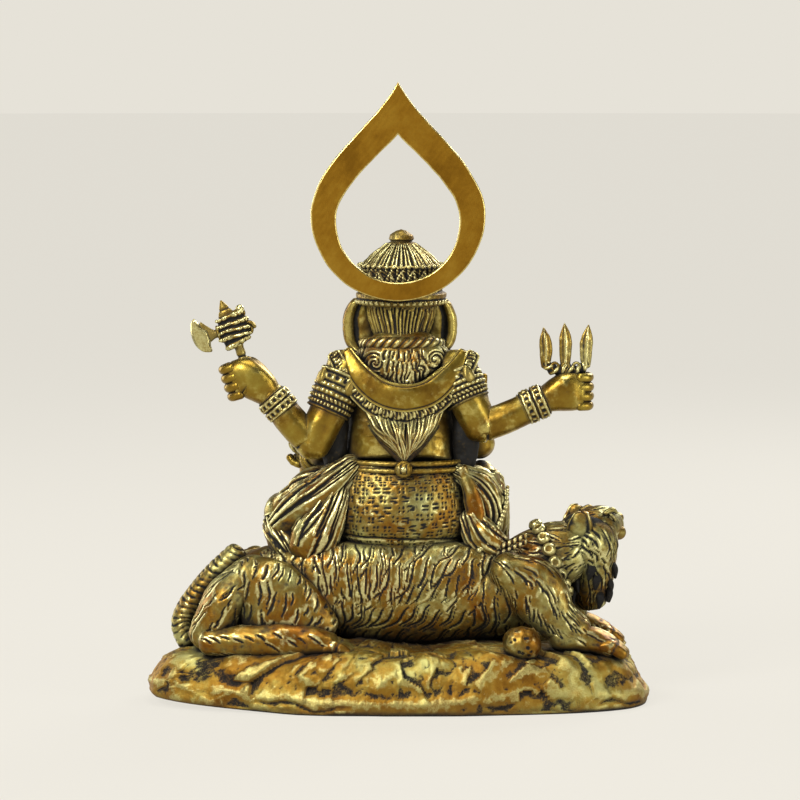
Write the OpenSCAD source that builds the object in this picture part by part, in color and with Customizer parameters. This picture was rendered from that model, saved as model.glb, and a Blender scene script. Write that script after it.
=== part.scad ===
// Brass figure of a seated elephant-headed deity on a crouching beast, on a hollow rock plinth.
// The deity faces -Y. The origin is the middle of the plinth's underside.

/* [Plinth] */
// Width of the rock plinth, end to end
plinth_w = 201; // [170:1:240]
// Depth of the rock plinth, front to back
plinth_d = 86; // [80:1:104]
// Height of the plinth where the beast lies
plinth_h = 24; // [21:0.5:30]
// Wall of the hollow plinth casting
plinth_wall = 4.5; // [3.5:0.5:6]

/* [Beast] */
// Length of the beast's trunk between the hip and the shoulder
trunk_len = 96; // [84:1:112]
// Half the height of the beast's trunk
trunk_r = 18.5; // [16:0.5:22]
// Half the width of the beast's head
beast_head_r = 12; // [10:0.5:14]
// Radius of a foreleg
foreleg_r = 7; // [6:0.25:8.5]
// Radius of the tail where it leaves the rump
tail_r = 4.6; // [3.8:0.2:5.5]
// Radius of one bead of the beast's collar
collar_bead_r = 2; // [1.7:0.1:2.4]
// Beads on the beast's collar
collar_beads = 20; // [16:1:22]
// Radius of the loose round stone by the beast's elbow
stone_r = 7; // [5.5:0.25:8.5]

/* [Deity] */
// Height of the hips above the beast's back
hip_h = 35; // [30:0.5:42]
// Half the width of the hips
hip_r = 28; // [24:0.5:32]
// Height from the waist to the shoulders
chest_h = 44; // [38:0.5:52]
// Half the width of the shoulders
shoulder_r = 25; // [22:0.5:29]
// Height of the head from the shoulders to the crown
head_h = 20; // [17:0.5:24]
// Half the width of the head at the back
head_r = 14.2; // [12:0.2:16]
// Radius of an upper arm
arm_r = 7.6; // [6.4:0.2:9]
// Half the width of a closed fist
fist_r = 8.6; // [7.4:0.2:10]
// How far a fold of cloth stands off the body that it lies on
cloth_t = 2.2; // [1.8:0.1:3]
// Radius of one cord of the belt
belt_cord_r = 1.5; // [1.2:0.1:1.8]

/* [Crown and halo] */
// Radius of the crown's brim
crown_r = 18; // [15:0.5:21]
// Height of the crown, bud included
crown_h = 30; // [25:0.5:36]
// Height of the crown's brim
brim_h = 5; // [4:0.5:6]
// Width of the halo
halo_w = 68.6; // [58:0.2:84]
// Thickness of the halo plate
halo_t = 3; // [2.4:0.2:4]
// Width of the halo's band at its sides
halo_band = 10; // [8:0.5:12]
// Width of the halo's band at its foot
halo_foot = 7.2; // [6:0.2:8.6]
// Solid height of the plate under the halo's tip
halo_crest = 20.4; // [18:0.2:26]

/* [Weapons] */
// Radius of the axe's shaft
axe_shaft_r = 2; // [1.6:0.1:2.4]
// Height of the axe above the fist
axe_h = 24; // [20:0.5:29]
// Reach of the axe's blade from its shaft
axe_reach = 16.8; // [14:0.2:20]
// Radius of the trident's shaft
trident_shaft_r = 2; // [1.6:0.1:2.4]
// Height of the trident above the fist
trident_h = 20; // [17:0.5:24]
// Spread of the trident's outer prongs
trident_w = 20; // [17:0.5:24]

/* [Fits] */
// Radius of the halo's peg
peg_r = 1.4; // [1.1:0.1:1.7]
// Clearance around a peg or shaft that lifts out
lift_gap = 0.1; // [0.08:0.02:0.2]
// Clearance between a part that lifts out and what it passes
pass_gap = 0.45; // [0.35:0.05:0.7]
// Depth of the sockets in the fists
socket_len = 9; // [7:0.5:11]

/* [Hidden] */
// Sides of a limb's ring and steps between two of its stations
limb_sides = 12;
limb_steps = 2;
bead_sides = 6;
// Heights and places that the pieces share
ground_z = plinth_h - 3;
trunk_z = plinth_h + trunk_r - 1;
back_z = plinth_h + 2 * trunk_r - 1;
waist_z = back_z + hip_h;
shoulder_z = waist_z + chest_h;
crown_z = shoulder_z + head_h;
brim_z = crown_z + brim_h;
hip_x = trunk_len / 2 + 2;
shoulder_x = -trunk_len / 2 - 2;
// The beast lies along X with its head at -X; near is its +Y side
neck_base = [shoulder_x - 1, 0, trunk_z + 11];
neck_top = [shoulder_x - 15, -1, trunk_z + 17.5];
skull = neck_top + [-8, -2, 5];
// The left leg lies folded over the beast's back, the right knee stands higher
knee_left = [hip_r + 20, -9, back_z + 14];
knee_right = [-hip_r - 6, -13, back_z + 25];
// Each arm's shoulder, elbow, wrist and fist
shoulder_left = [shoulder_r - 4, 4, shoulder_z - 4.5];
elbow_left = [shoulder_r + 9.8, 8.5, waist_z + 8.5];
wrist_left = [shoulder_r + 26.5, 7.2, shoulder_z - 16];
fist_left_c = wrist_left + [9.5, 0, 7.4];
shoulder_right = [-shoulder_r + 4, 4, shoulder_z - 4.5];
elbow_right = [-shoulder_r - 7, 8.5, waist_z + 15.5];
wrist_right = [-shoulder_r - 33, 7.2, shoulder_z - 17.5];
fist_right_c = wrist_right + [-9.2, 0, 3.2];
// The weapons stand in the fists; the axe leans out
axe_lean = 18;
axe_foot = fist_left_c + [1.6, 0, fist_r * 0.9];
trident_foot = fist_right_c + [1.2, 0, fist_r * 0.86];
// The bowl of sweets in the front left hand
bowl_c = [shoulder_r + 13, -29, waist_z + 0.5];
// The halo stands behind the crown, and its peg goes down through the brim
halo_y = crown_r + pass_gap;
halo_r = halo_w / 2;
peg_y = crown_r - peg_r - 1.2;
lug_w = 4.4;
lug_h = 3.4;
lug_front = peg_y - 2.4;
halo_centre_z = brim_z - 2.4 + halo_r;
halo_rise = 1.505 * halo_r;
halo_x = 0.8;

NODES = [
    "rock_plinth", "beast_body", "beast_collar", "beast_hind_leg_near", "beast_hind_leg_far",
    "beast_foreleg_near", "beast_foreleg_far", "beast_tail", "beast_neck", "beast_head",
    "beast_ear_near", "beast_ear_far", "loose_stone", "belt_knot", "torso", "belt", "hips", "leg_left", "leg_right",
    "foot_left", "foot_right", "shawl", "shawl_border", "hair_tail", "crown", "head", "hair_curls",
    "elephant_trunk", "tusk_left", "tusk_right", "ear_left", "ear_right", "necklace",
    "upper_arm_left", "upper_arm_right", "armlet_left", "armlet_right", "forearm_left", "forearm_right",
    "bracelet_left", "bracelet_right", "fist_left", "fist_right", "front_arm_left", "front_arm_right",
    "front_hand_left", "sweet_bowl", "blessing_hand", "halo", "axe", "trident"
];

// ---- Curves and skins -------------------------------------------------------------------------

function unit(v) = v / norm(v);
function xyz(s) = [s[0], s[1], s[2]];
// A station: a point with the radius across and the radius up
function at(p, across, up) = [p[0], p[1], p[2], across, up];

// Catmull-Rom point between p[i] and p[i + 1], for lists of any length
function between(p, i, t) =
    let (a = p[max(i - 1, 0)], b = p[i], c = p[i + 1], d = p[min(i + 2, len(p) - 1)])
    0.5 * (2 * b + (c - a) * t + (2 * a - 5 * b + 4 * c - d) * t * t + (3 * b - 3 * c + d - a) * t * t * t);
function smoothed(p, n) = [for (i = [0 : len(p) - 2]) for (k = [0 : n - 1]) between(p, i, k / n), p[len(p) - 1]];

// One ring of a limb: an ellipse of radii s[3] across and s[4] along up, about its station s,
// with its corners turned by turn degrees
function ring(s, across, up, sides, turn, k = 1) =
    [for (j = [0 : sides - 1]) let (a = 360 * j / sides + turn)
        xyz(s) + across * s[3] * k * cos(a) + up * s[4] * k * sin(a)];

// A closed skin over rings of equal length, from the point first to the point last
module skin(rings, first, last) {
    n = len(rings[0]);
    m = len(rings);
    points = concat([first], [for (r = rings) for (p = r) p], [last]);
    low = [for (k = [0 : n - 1]) [0, 1 + k, 1 + (k + 1) % n]];
    side = [for (j = [0 : m - 2]) for (k = [0 : n - 1])
        let (a = 1 + j * n + k, b = 1 + j * n + (k + 1) % n)
            each [[a, a + n, b], [b, a + n, b + n]]];
    top = [for (k = [0 : n - 1]) let (a = 1 + (m - 1) * n) [a + k, m * n + 1, a + (k + 1) % n]];
    polyhedron(points, concat(low, side, top), convexity = 6);
}

// A limb through stations [x, y, z, radius across, radius up], with domed ends.
// round gives each dome's length as a share of the end's smaller radius.
module limb(stations, hint = [0, 0, 1], sides = limb_sides, steps = limb_steps, round = [0.8, 0.8]) {
    s = smoothed(stations, steps);
    n = len(s) - 1;
    t = [for (i = [0 : n]) unit(xyz(s[min(i + 1, n)]) - xyz(s[max(i - 1, 0)]))];
    side = [for (v = t) unit(cross(hint, v))];
    up = [for (i = [0 : n]) cross(t[i], side[i])];
    // a turn of its own for each limb, so that no two limbs' facets line up
    turn = abs(s[0][0] * 1.37 + s[0][1] * 2.71 + s[0][2] * 0.73 + s[n][0] * 0.91) % (360 / sides);
    r0 = min(s[0][3], s[0][4]) * round[0];
    r1 = min(s[n][3], s[n][4]) * round[1];
    first = [for (a = [65, 32]) ring(s[0] - at(t[0] * r0 * sin(a), 0, 0), side[0], up[0], sides, turn, cos(a))];
    last = [for (a = [32, 65]) ring(s[n] + at(t[n] * r1 * sin(a), 0, 0), side[n], up[n], sides, turn, cos(a))];
    middle = [for (i = [0 : n]) ring(s[i], side[i], up[i], sides, turn)];
    skin(concat(first, middle, last), xyz(s[0]) - t[0] * r0, xyz(s[n]) + t[n] * r1);
}

// A turned form about +Z: profile holds [height, radius] from the foot up
module turned(profile, top, sides = 24) {
    rings = [for (p = profile) [for (k = [0 : sides - 1]) let (a = 360 * k / sides) [p[1] * cos(a), p[1] * sin(a), p[0]]]];
    skin(rings, [0, 0, profile[0][0]], [0, 0, top]);
}

// Beads on an ellipse of radii rx and ry
module beads(rx, ry, count, r) {
    for (k = [0 : count - 1])
        let (a = 360 * k / count) translate([rx * cos(a), ry * sin(a), 0]) sphere(r, $fn = bead_sides);
}

// A closed elliptic hoop of a round section r, or of a flat one when h is given
module hoop(rx, ry, r, h = 0, sides = 20) {
    section = h ? [for (a = [45 : 90 : 315]) [sign(cos(a)) * r, sign(sin(a)) * h / 2]]
                : [for (a = [0 : 60 : 300]) [r * cos(a), r * sin(a)]];
    n = len(section);
    points = [for (k = [0 : sides - 1]) let (a = 360 * k / sides) for (p = section)
        [(rx + p[0]) * cos(a), (ry + p[0]) * sin(a), p[1]]];
    faces = [for (k = [0 : sides - 1]) for (j = [0 : n - 1])
        let (a = k * n + j, b = k * n + (j + 1) % n, k2 = ((k + 1) % sides) * n, c = k2 + j, d = k2 + (j + 1) % n)
            each [[a, b, c], [b, d, c]]];
    polyhedron(points, faces, convexity = 6);
}

// Places a child made about the origin, standing along +Z, so that +Z points along dir
module along(dir) {
    d = unit(dir);
    rotate([0, acos(d[2]), atan2(d[1], d[0])]) children();
}

// ---- The form of each piece, before it is fitted to its neighbours ----------------------------

// Outline of the rocks at angle a: a squarish oval, cut back at the left of its rear edge
function rock_edge(a, w, d) =
    let (q = 2.9, r = pow(pow(abs(cos(a)) / (w / 2), q) + pow(abs(sin(a)) / (d / 2), q), -1 / q),
        bay = 0.985 + 0.04 * pow(cos(2 * a), 8) - 0.09 * exp(-pow((a - 26) / 16, 2)) + 0.010 * sin(7 * a + 20)
            + 0.008 * sin(4 * a))
    r * min(bay, 1);
function rock_top(x, y, h) = h + 1.2 * sin(3.1 * x + 40) * cos(2.2 * y) + 0.9 * sin(5.3 * x - 70)
    - (x > 0 ? 3 : 7) * pow(max(abs(x) - plinth_w * 0.34, 0) / (plinth_w * 0.16), 2);
// The underside lifts off the table at the left of the rear edge
function rock_foot(x, y) = 3.2 * pow(min(max((x - 0.2 * plinth_w) / (0.3 * plinth_w), 0), 1), 1.3) * min(max((y + 14) / 20, 0), 1);

// Each level is [share of the height, share of the outline], up the side and over the top
rock_levels = [[0, 0.985], [0.12, 1], [0.4, 0.995], [0.68, 0.965], [0.9, 0.9], [1, 0.8], [1.03, 0.5]];
module rocks(w, d, h, sides = 36) {
    rings = [for (l = rock_levels) [for (k = [0 : sides - 1])
        let (a = 360 * k / sides, lump = l[0] > 0.3 && l[0] < 1 ? 0.018 * sin(9 * a + 200 * l[0]) : 0,
            r = rock_edge(a, w, d) * min(l[1] + lump, 1), x = r * cos(a), y = r * sin(a), foot = rock_foot(x, y))
            [x, y, foot + l[0] * (rock_top(x, y, h) - foot)]]];
    skin(rings, [0, 0, 0], [0, 0, 1.03 * rock_top(0, 0, h)]);
}
module plinth_form() {
    difference() {
        rocks(plinth_w, plinth_d, plinth_h);
        translate([0, 0, -0.5])
            rocks(plinth_w - 2.6 * plinth_wall, plinth_d - 3 * plinth_wall, plinth_h - plinth_wall - 2.5, 24);
    }
}

module beast_body_form()
    limb([[hip_x + 15, 0, trunk_z + 3, 11, 12], [hip_x, 0, trunk_z + 2.5, 17, trunk_r],
        [hip_x - 26, 0, trunk_z + 1, 18.5, trunk_r], [0, 0, trunk_z - 0.5, 19.5, trunk_r],
        [shoulder_x + 24, 0, trunk_z, 19.5, trunk_r], [shoulder_x, 0, trunk_z + 5, 17, trunk_r],
        [shoulder_x - 8, 0, trunk_z + 8, 11, 10]], sides = 20, round = [0.8, 0.5]);
module hind_leg_form(side) {
    limb([[hip_x + 12, side * 12, trunk_z + 8, 8, 12], [hip_x + 2, side * 17, trunk_z + 1, 8, 17],
        [hip_x - 12, side * 19, trunk_z - 6, 7, 12], [hip_x - 20, side * 19, ground_z + 9, 5, 7]]);
    limb([[hip_x + 26, side * 22, ground_z + 5, 5, 5], [hip_x + 6, side * 24, ground_z + 6, 6, 6.5],
        [hip_x - 12, side * 25, ground_z + 6, 6.5, 6.5], [hip_x - 24, side * 25, ground_z + 4.5, 7.5, 5]]);
}
module foreleg_form(side) {
    limb([[shoulder_x + 8, side * 13, trunk_z + 12, 8, 10], [shoulder_x - 3, side * 16, trunk_z + 5, 12, foreleg_r + 1],
        [shoulder_x - 12, side * 18, trunk_z - 6, foreleg_r + 2, foreleg_r],
        [shoulder_x - 20, side * 18, ground_z + 9, foreleg_r, foreleg_r]], hint = [0, 1, 0]);
    limb([[shoulder_x - 14, side * 18, ground_z + 7, foreleg_r, 6.5],
        [shoulder_x - 26, side * 18, ground_z + 5.5, foreleg_r, 5.5],
        [shoulder_x - 36, side * 18, ground_z + 2.5, foreleg_r + 1, 4.5]]);
}
module beast_tail_form()
    limb([[hip_x + 16, 1, trunk_z + 17, tail_r, tail_r], [hip_x + 27, 2, trunk_z + 6, tail_r, tail_r],
        [hip_x + 37, 3, trunk_z - 8, tail_r * 0.95, tail_r * 0.95],
        [hip_x + 36, 6, ground_z + 3, tail_r * 0.75, tail_r * 0.75]], hint = [0, 1, 0], sides = 12, steps = 2);
module beast_neck_form()
    limb([[shoulder_x + 10, 0, trunk_z + 9, 13, 12], at(neck_base, 14, 14), at(neck_top, 13, 13), at(skull, 9, 9)]);
module beast_head_form() {
    r = beast_head_r;
    limb([at(skull + [4, 1, 3], 0.7 * r, 0.7 * r), at(skull + [-1, 0, -1], 0.96 * r, r),
        at(skull + [-3, -1, -13], 0.8 * r, 0.84 * r), at(skull + [-3, -2, -24], 0.55 * r, 0.55 * r)], hint = [0, 1, 0]);
    limb([at(skull + [-1, -1, 2], 0.84 * r, 0.8 * r), at(skull + [-7, -5, 4], 0.72 * r, 0.76 * r),
        at(skull + [-10, -9, 5], 0.52 * r, 0.62 * r)]);
}
module beast_ear_form(side)
    limb([at(skull + [3, side * 8, 3], 4.5, 2.2), at(skull + [2.5, side * 10, 7], 5, 1.9),
        at(skull + [2, side * 10.5, 11.5], 3, 1.4)], hint = [0, 1, 0], sides = 10);
module beast_collar_form()
    translate(neck_base * 0.3 + neck_top * 0.7 + [0, 0, -0.5])
        along(neck_top - neck_base) {
            hoop(14, 14, 1.4, 3, 16);
            beads(15, 15, collar_beads, collar_bead_r);
        }
module loose_stone_form()
    translate([shoulder_x + 2, plinth_d * 0.33, ground_z + stone_r * 0.8]) sphere(stone_r, $fn = 12);

module hips_form()
    limb([[0, 0, back_z + 3.5, hip_r * 0.86, 16], [0, 0, back_z + 9, hip_r * 0.99, 19.5], [0, 0, back_z + 18, hip_r, 20.5],
        [0, -1, waist_z - 6, hip_r * 0.95, 18.5], [0, -1, waist_z + 1.2, hip_r * 0.86, 16]],
        hint = [0, 1, 0], sides = 18, round = [0.55, 0.02]);
module leg_left_form() {
    limb([[9, -4, back_z + 18, 13, 12], [hip_r + 2, -5, back_z + 19, 14, 15], [hip_r + 12, -7, back_z + 16, 12, 12],
        at(knee_left, 9, 8.5)]);
    limb([at(knee_left + [-2, 0, -2], 8, 7.5), [hip_r + 4, -22, back_z + 8, 8, 7], [16, -27, back_z + 5, 6.5, 6]]);
}
module leg_right_form() {
    limb([[-8, -6, back_z + 17, 13, 12], [-hip_r * 0.8, -10, back_z + 21, 12, 13], at(knee_right, 9, 9.5)]);
    limb([at(knee_right + [0, -1, -1], 8.5, 8.5), at(knee_right + [-3, -10, -14], 7.5, 7),
        at(knee_right + [-5, -14, -33], 5.8, 5.8)], hint = [0, 1, 0]);
}
module foot_left_form()
    limb([[17, -27.8, back_z + 5, 5.2, 5.2], [10, -30, back_z + 3.4, 6, 4.5], [1, -31, back_z + 2, 6, 3.2]]);
module foot_right_form()
    limb([at(knee_right + [-5, -14, -37], 5.2, 5.5), at(knee_right + [-5, -19, -42], 5.8, 4),
        at(knee_right + [-5, -25, -44.5], 6, 2.8)]);
module torso_form()
    limb([[0, -1, waist_z - 0.6, 22.8, 15], [0, -4.5, waist_z + 9, 22.5, 19.5], [0, -5, waist_z + 20, 21.5, 19],
        [0, -1.5, waist_z + 31, 22, 14.5], [0, 0, shoulder_z - 5, shoulder_r * 0.9, 11], [0, 0, shoulder_z, 14, 9]],
        hint = [0, 1, 0], sides = 18, round = [0.02, 0.5]);
module belt_form()
    translate([0, -1, 0]) {
        translate([0, 0, waist_z - 1.2]) hoop(25.4, 17.2, belt_cord_r);
        translate([0, 0, waist_z + 1.3]) hoop(25, 16.8, belt_cord_r);
    }
module belt_knot_form() translate([-1.4, 16.8, waist_z]) sphere(3.4, $fn = 10);

module crown_form() {
    r = crown_r;
    h = crown_h;
    translate([-0.5, 0, crown_z]) turned([[-0.4, r - 4], [0, r - 1], [1.6, r], [brim_h - 0.5, r], [brim_h, r - 1.2],
        [brim_h + 1, r - 2], [0.5 * h, r - 1.2], [0.53 * h, r - 2.6], [0.82 * h, 5.2], [0.835 * h, 4.2],
        [0.865 * h, 5.1], [0.92 * h, 4.6], [0.97 * h, 2.4]], h);
}
module head_form() {
    limb([[-0.5, 1, shoulder_z - 2, head_r * 0.85, 11], [-0.5, 0, shoulder_z + 6, head_r * 0.8, 12],
        [-0.5, -1, crown_z - 5, head_r * 0.97, 13.5], [-0.5, -1, crown_z + 0.5, head_r * 0.97, 13.5]],
        hint = [0, 1, 0], round = [0.1, 0.02]);
    limb([[-0.5, -3, crown_z - 7, head_r * 0.9, 9.5], [-0.5, -11, crown_z - 8.5, head_r * 0.85, 9],
        [-0.5, -17, crown_z - 12, head_r * 0.6, 7.5]]);
}
module elephant_trunk_form()
    limb([[-0.5, -15, crown_z - 11, 7.5, 7], [-0.5, -23, crown_z - 19, 6, 6], [1, -27, crown_z - 30, 5.2, 5.2],
        [7, -29.5, crown_z - 41, 4.8, 4.8], [16, -31, crown_z - 50, 4.4, 4.4], [25, -31, crown_z - 53, 4, 4],
        [31, -30.5, crown_z - 51.5, 3.6, 3.6]], hint = [0, 1, 0.2]);
module tusk_form(side)
    limb([[-0.5 + side * 5, -15, crown_z - 14, 1.9, 1.9], [-0.5 + side * 8, -22, crown_z - 17, 1.7, 1.7],
        [-0.5 + side * 9.5, -27, crown_z - 16, 1.1, 1.1]], sides = 10);
module ear_form(side)
    limb([[side * 14, -2, crown_z - 19, 3, 1.6], [side * 15.6, -4, crown_z - 14, 6, 2],
        [side * 16, -4, crown_z - 6, 6.2, 2.2], [side * 15, -2, crown_z - 0.5, 4.5, 1.8]], hint = [0, 1, 0]);
module shawl_form()
    limb([[21, 9, shoulder_z + 1.5, 2, 1.7], [16, 11, shoulder_z - 7, 4, 2], [8, 12.6, shoulder_z - 14, 5, 2.4],
        [-2, 13.4, shoulder_z - 16.5, 5, 2.6], [-12, 12.6, shoulder_z - 14, 5, 2.4], [-20, 11, shoulder_z - 7, 4, 2],
        [-25, 9, shoulder_z + 1, 2, 1.7]], hint = [0, 1, 0], sides = 10);
module shawl_border_form()
    limb([[26, 9.5, shoulder_z + 0.5, 2.6, 1.8], [20.5, 11, shoulder_z - 10, 3, 2], [11, 12.6, shoulder_z - 20.5, 3.2, 2.4],
        [-1.5, 13.8, shoulder_z - 24, 3.3, 2.4], [-14, 12.6, shoulder_z - 20.5, 3.2, 2.4],
        [-23.5, 11, shoulder_z - 10, 3, 2], [-29, 9.5, shoulder_z + 0.5, 2.6, 1.8]], hint = [0, 1, 0], sides = 10);
module hair_tail_form()
    limb([[-1.5, 12.5, waist_z + 16.5, 15, 3], [-1.5, 13, waist_z + 10, 10.5, 4], [-1.5, 14.5, waist_z + 4, 4.5, 3],
        [-1.5, 15.5, waist_z + 1, 2, 2]], hint = [0, 1, 0]);
module hair_curls_form()
    limb([[-1.5, 7, shoulder_z + 5.5, 14, 5.5], [-1.5, 8, shoulder_z - 1, 15.5, 6], [-1.5, 9, shoulder_z - 7.5, 11, 5.5],
        [-1.5, 10.5, shoulder_z - 12, 5, 4]], hint = [0, 1, 0]);
module necklace_form()
    limb([[17, -6, shoulder_z - 2, 2.2, 2.2], [13.5, -14, shoulder_z - 9, 2.4, 2.4], [6.5, -18.5, shoulder_z - 17, 2.6, 2.6],
        [0, -20.5, shoulder_z - 20, 3, 3], [-6.5, -18.5, shoulder_z - 17, 2.6, 2.6], [-13.5, -14, shoulder_z - 9, 2.4, 2.4],
        [-17, -6, shoulder_z - 2, 2.2, 2.2]], hint = [0, 1, 0.3], sides = 10);

module upper_arm_form(a, b)
    limb([at(a, arm_r + 0.4, arm_r + 0.4), at(a * 0.55 + b * 0.45 + [0, 0.8, 0], arm_r + 0.2, arm_r + 0.4),
        at(b, arm_r - 0.8, arm_r - 0.8)], hint = [0, 1, 0]);
module armlet_form(a, b)
    limb([at(a * 0.86 + b * 0.14, arm_r + 1.2, arm_r + 1.2), at(a * 0.66 + b * 0.34 + [0, 0.5, 0], arm_r + 1.8, arm_r + 1.8),
        at(a * 0.46 + b * 0.54 + [0, 0.6, 0], arm_r + 1.3, arm_r + 1.3)], hint = [0, 1, 0], round = [0.06, 0.06]);
module forearm_form(a, b)
    limb([at(a * 0.96 + b * 0.04, arm_r - 2, arm_r - 2), at((a + b) / 2 + [0, 0, -0.6], arm_r - 1.4, arm_r - 1.2),
        at(b, arm_r - 2.2, arm_r - 2.2)], hint = [0, 1, 0]);
module bracelet_form(a, b)
    limb([at(a * 0.34 + b * 0.66, arm_r - 1.0, arm_r - 1.0), at(a * 0.16 + b * 0.84, arm_r - 0.8, arm_r - 0.8),
        at(b, arm_r - 1.0, arm_r - 1.0)], hint = [0, 1, 0], round = [0.05, 0.05]);
module fist_form(wrist, fist)
    limb([at(wrist, arm_r - 2.2, arm_r - 2.2), at(wrist * 0.45 + fist * 0.55 + [0, 0, 0.5], fist_r * 0.86, fist_r * 0.9),
        at(fist, fist_r * 0.86, fist_r * 0.98)], hint = [0, 1, 0], round = [0.5, 0.62]);
module socket(foot, lean, r)
    translate(foot) rotate([0, lean, 0]) translate([0, 0, -socket_len]) cylinder(h = socket_len + 20, r = r, $fn = 24);

module front_arm_form(side, elbow, wrist) {
    limb([[side * 18, -3, shoulder_z - 5, 7.4, 7.4], [side * 26, -9, shoulder_z - 20, 6.8, 6.8], at(elbow, 6.2, 6.2)],
        hint = [0, 1, 0]);
    limb([at(elbow, 6, 6), at((elbow + wrist) / 2, 5.4, 5.4), at(wrist, 4.6, 4.6)], hint = [0, 1, 0.1], steps = 1);
}
front_elbow_left = [shoulder_r + 6, -12, waist_z + 5];
front_wrist_left = bowl_c + [-3, 5, -2.5];
front_elbow_right = [-shoulder_r - 7, -13, waist_z + 6];
front_wrist_right = [-shoulder_r - 6, -28, waist_z + 14];
module front_hand_left_form()
    limb([at(front_wrist_left + [1.3, -2.6, 0.4], 3.8, 2.9), at(bowl_c + [-1, -1, -3], 6.5, 2.6), at(bowl_c + [0.5, -6, -2.6], 5.5, 2)]);
module sweet_bowl_form() translate(bowl_c) {
    turned([[-1.5, 4], [0, 4.5], [3, 6.8], [5, 7.4], [6, 6.8]], 7, 16);
    for (k = [0 : 5]) translate([3.9 * cos(60 * k), 3.9 * sin(60 * k), 6]) sphere(2.8, $fn = 6);
    translate([0, 0, 8.4]) sphere(3, $fn = 6);
}
module blessing_hand_form()
    limb([at(front_wrist_right, 4.8, 4.4), at(front_wrist_right + [0.5, -3, 7], 6.4, 3.2),
        at(front_wrist_right + [1, -3.4, 13], 5.8, 2.6), at(front_wrist_right + [1, -3, 18], 4.4, 1.9)], hint = [0, 1, 0]);

// Every piece's form, by name, so that a later piece can be cut to seat against an earlier one
module form(name) {
    if (name == "rock_plinth") rocks(plinth_w, plinth_d, plinth_h);
    if (name == "beast_body") beast_body_form();
    if (name == "beast_hind_leg_near") hind_leg_form(1);
    if (name == "beast_hind_leg_far") hind_leg_form(-1);
    if (name == "beast_foreleg_near") foreleg_form(1);
    if (name == "beast_foreleg_far") foreleg_form(-1);
    if (name == "beast_tail") beast_tail_form();
    if (name == "beast_neck") beast_neck_form();
    if (name == "beast_head") beast_head_form();
    if (name == "beast_ear_near") beast_ear_form(1);
    if (name == "beast_ear_far") beast_ear_form(-1);
    if (name == "beast_collar") beast_collar_form();
    if (name == "loose_stone") loose_stone_form();
    if (name == "belt") belt_form();
    if (name == "hips") hips_form();
    if (name == "torso") torso_form();
    if (name == "belt_knot") belt_knot_form();
    if (name == "leg_left") leg_left_form();
    if (name == "leg_right") leg_right_form();
    if (name == "foot_left") foot_left_form();
    if (name == "foot_right") foot_right_form();
    if (name == "shawl") shawl_form();
    if (name == "shawl_border") shawl_border_form();
    if (name == "hair_tail") hair_tail_form();
    if (name == "crown") crown_form();
    if (name == "head") head_form();
    if (name == "hair_curls") hair_curls_form();
    if (name == "elephant_trunk") elephant_trunk_form();
    if (name == "tusk_left") tusk_form(1);
    if (name == "tusk_right") tusk_form(-1);
    if (name == "ear_left") ear_form(1);
    if (name == "ear_right") ear_form(-1);
    if (name == "necklace") necklace_form();
    if (name == "upper_arm_left") upper_arm_form(shoulder_left, elbow_left);
    if (name == "upper_arm_right") upper_arm_form(shoulder_right, elbow_right);
    if (name == "armlet_left") armlet_form(shoulder_left, elbow_left);
    if (name == "armlet_right") armlet_form(shoulder_right, elbow_right);
    if (name == "forearm_left") forearm_form(elbow_left, wrist_left);
    if (name == "forearm_right") forearm_form(elbow_right, wrist_right);
    if (name == "bracelet_left") bracelet_form(elbow_left, wrist_left);
    if (name == "bracelet_right") bracelet_form(elbow_right, wrist_right);
    if (name == "fist_left") fist_form(wrist_left, fist_left_c);
    if (name == "fist_right") fist_form(wrist_right, fist_right_c);
    if (name == "front_arm_left") front_arm_form(1, front_elbow_left, front_wrist_left);
    if (name == "front_arm_right") front_arm_form(-1, front_elbow_right, front_wrist_right);
    if (name == "front_hand_left") front_hand_left_form();
    if (name == "sweet_bowl") sweet_bowl_form();
    if (name == "blessing_hand") blessing_hand_form();
}
function place(name) = search([name], NODES)[0];

// The piece of that name, cut back where an earlier piece of the list already stands
module fitted(name) {
    resize([0, 0, 0])
        difference() {
            if (name == "rock_plinth") plinth_form(); else form(name);
            if (place(name) > 0) for (k = [0 : place(name) - 1]) form(NODES[k]);
            children();
        }
}

// ---- Pieces -----------------------------------------------------------------------------------

module rock_plinth() color("darkgoldenrod") fitted("rock_plinth");
module beast_body() color("goldenrod") fitted("beast_body");
module beast_hind_leg_near() color("goldenrod") fitted("beast_hind_leg_near");
module beast_hind_leg_far() color("goldenrod") fitted("beast_hind_leg_far");
module beast_foreleg_near() color("goldenrod") fitted("beast_foreleg_near");
module beast_foreleg_far() color("goldenrod") fitted("beast_foreleg_far");
module beast_tail() color("goldenrod") fitted("beast_tail");
module beast_neck() color("goldenrod") fitted("beast_neck");
module beast_head() color("goldenrod") fitted("beast_head");
module beast_ear_near() color("goldenrod") fitted("beast_ear_near");
module beast_ear_far() color("goldenrod") fitted("beast_ear_far");
module beast_collar() color("gold") fitted("beast_collar");
module loose_stone() color("darkgoldenrod") fitted("loose_stone");
module belt() color("gold") fitted("belt");
module hips() color("goldenrod") fitted("hips");
module torso() color("goldenrod") fitted("torso");
module belt_knot() color("gold") fitted("belt_knot");
module leg_left() color("goldenrod") fitted("leg_left");
module leg_right() color("goldenrod") fitted("leg_right");
module foot_left() color("goldenrod") fitted("foot_left");
module foot_right() color("goldenrod") fitted("foot_right");
module shawl() color("goldenrod") fitted("shawl");
module shawl_border() color("gold") fitted("shawl_border");
module hair_tail() color("peru") fitted("hair_tail");
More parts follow.
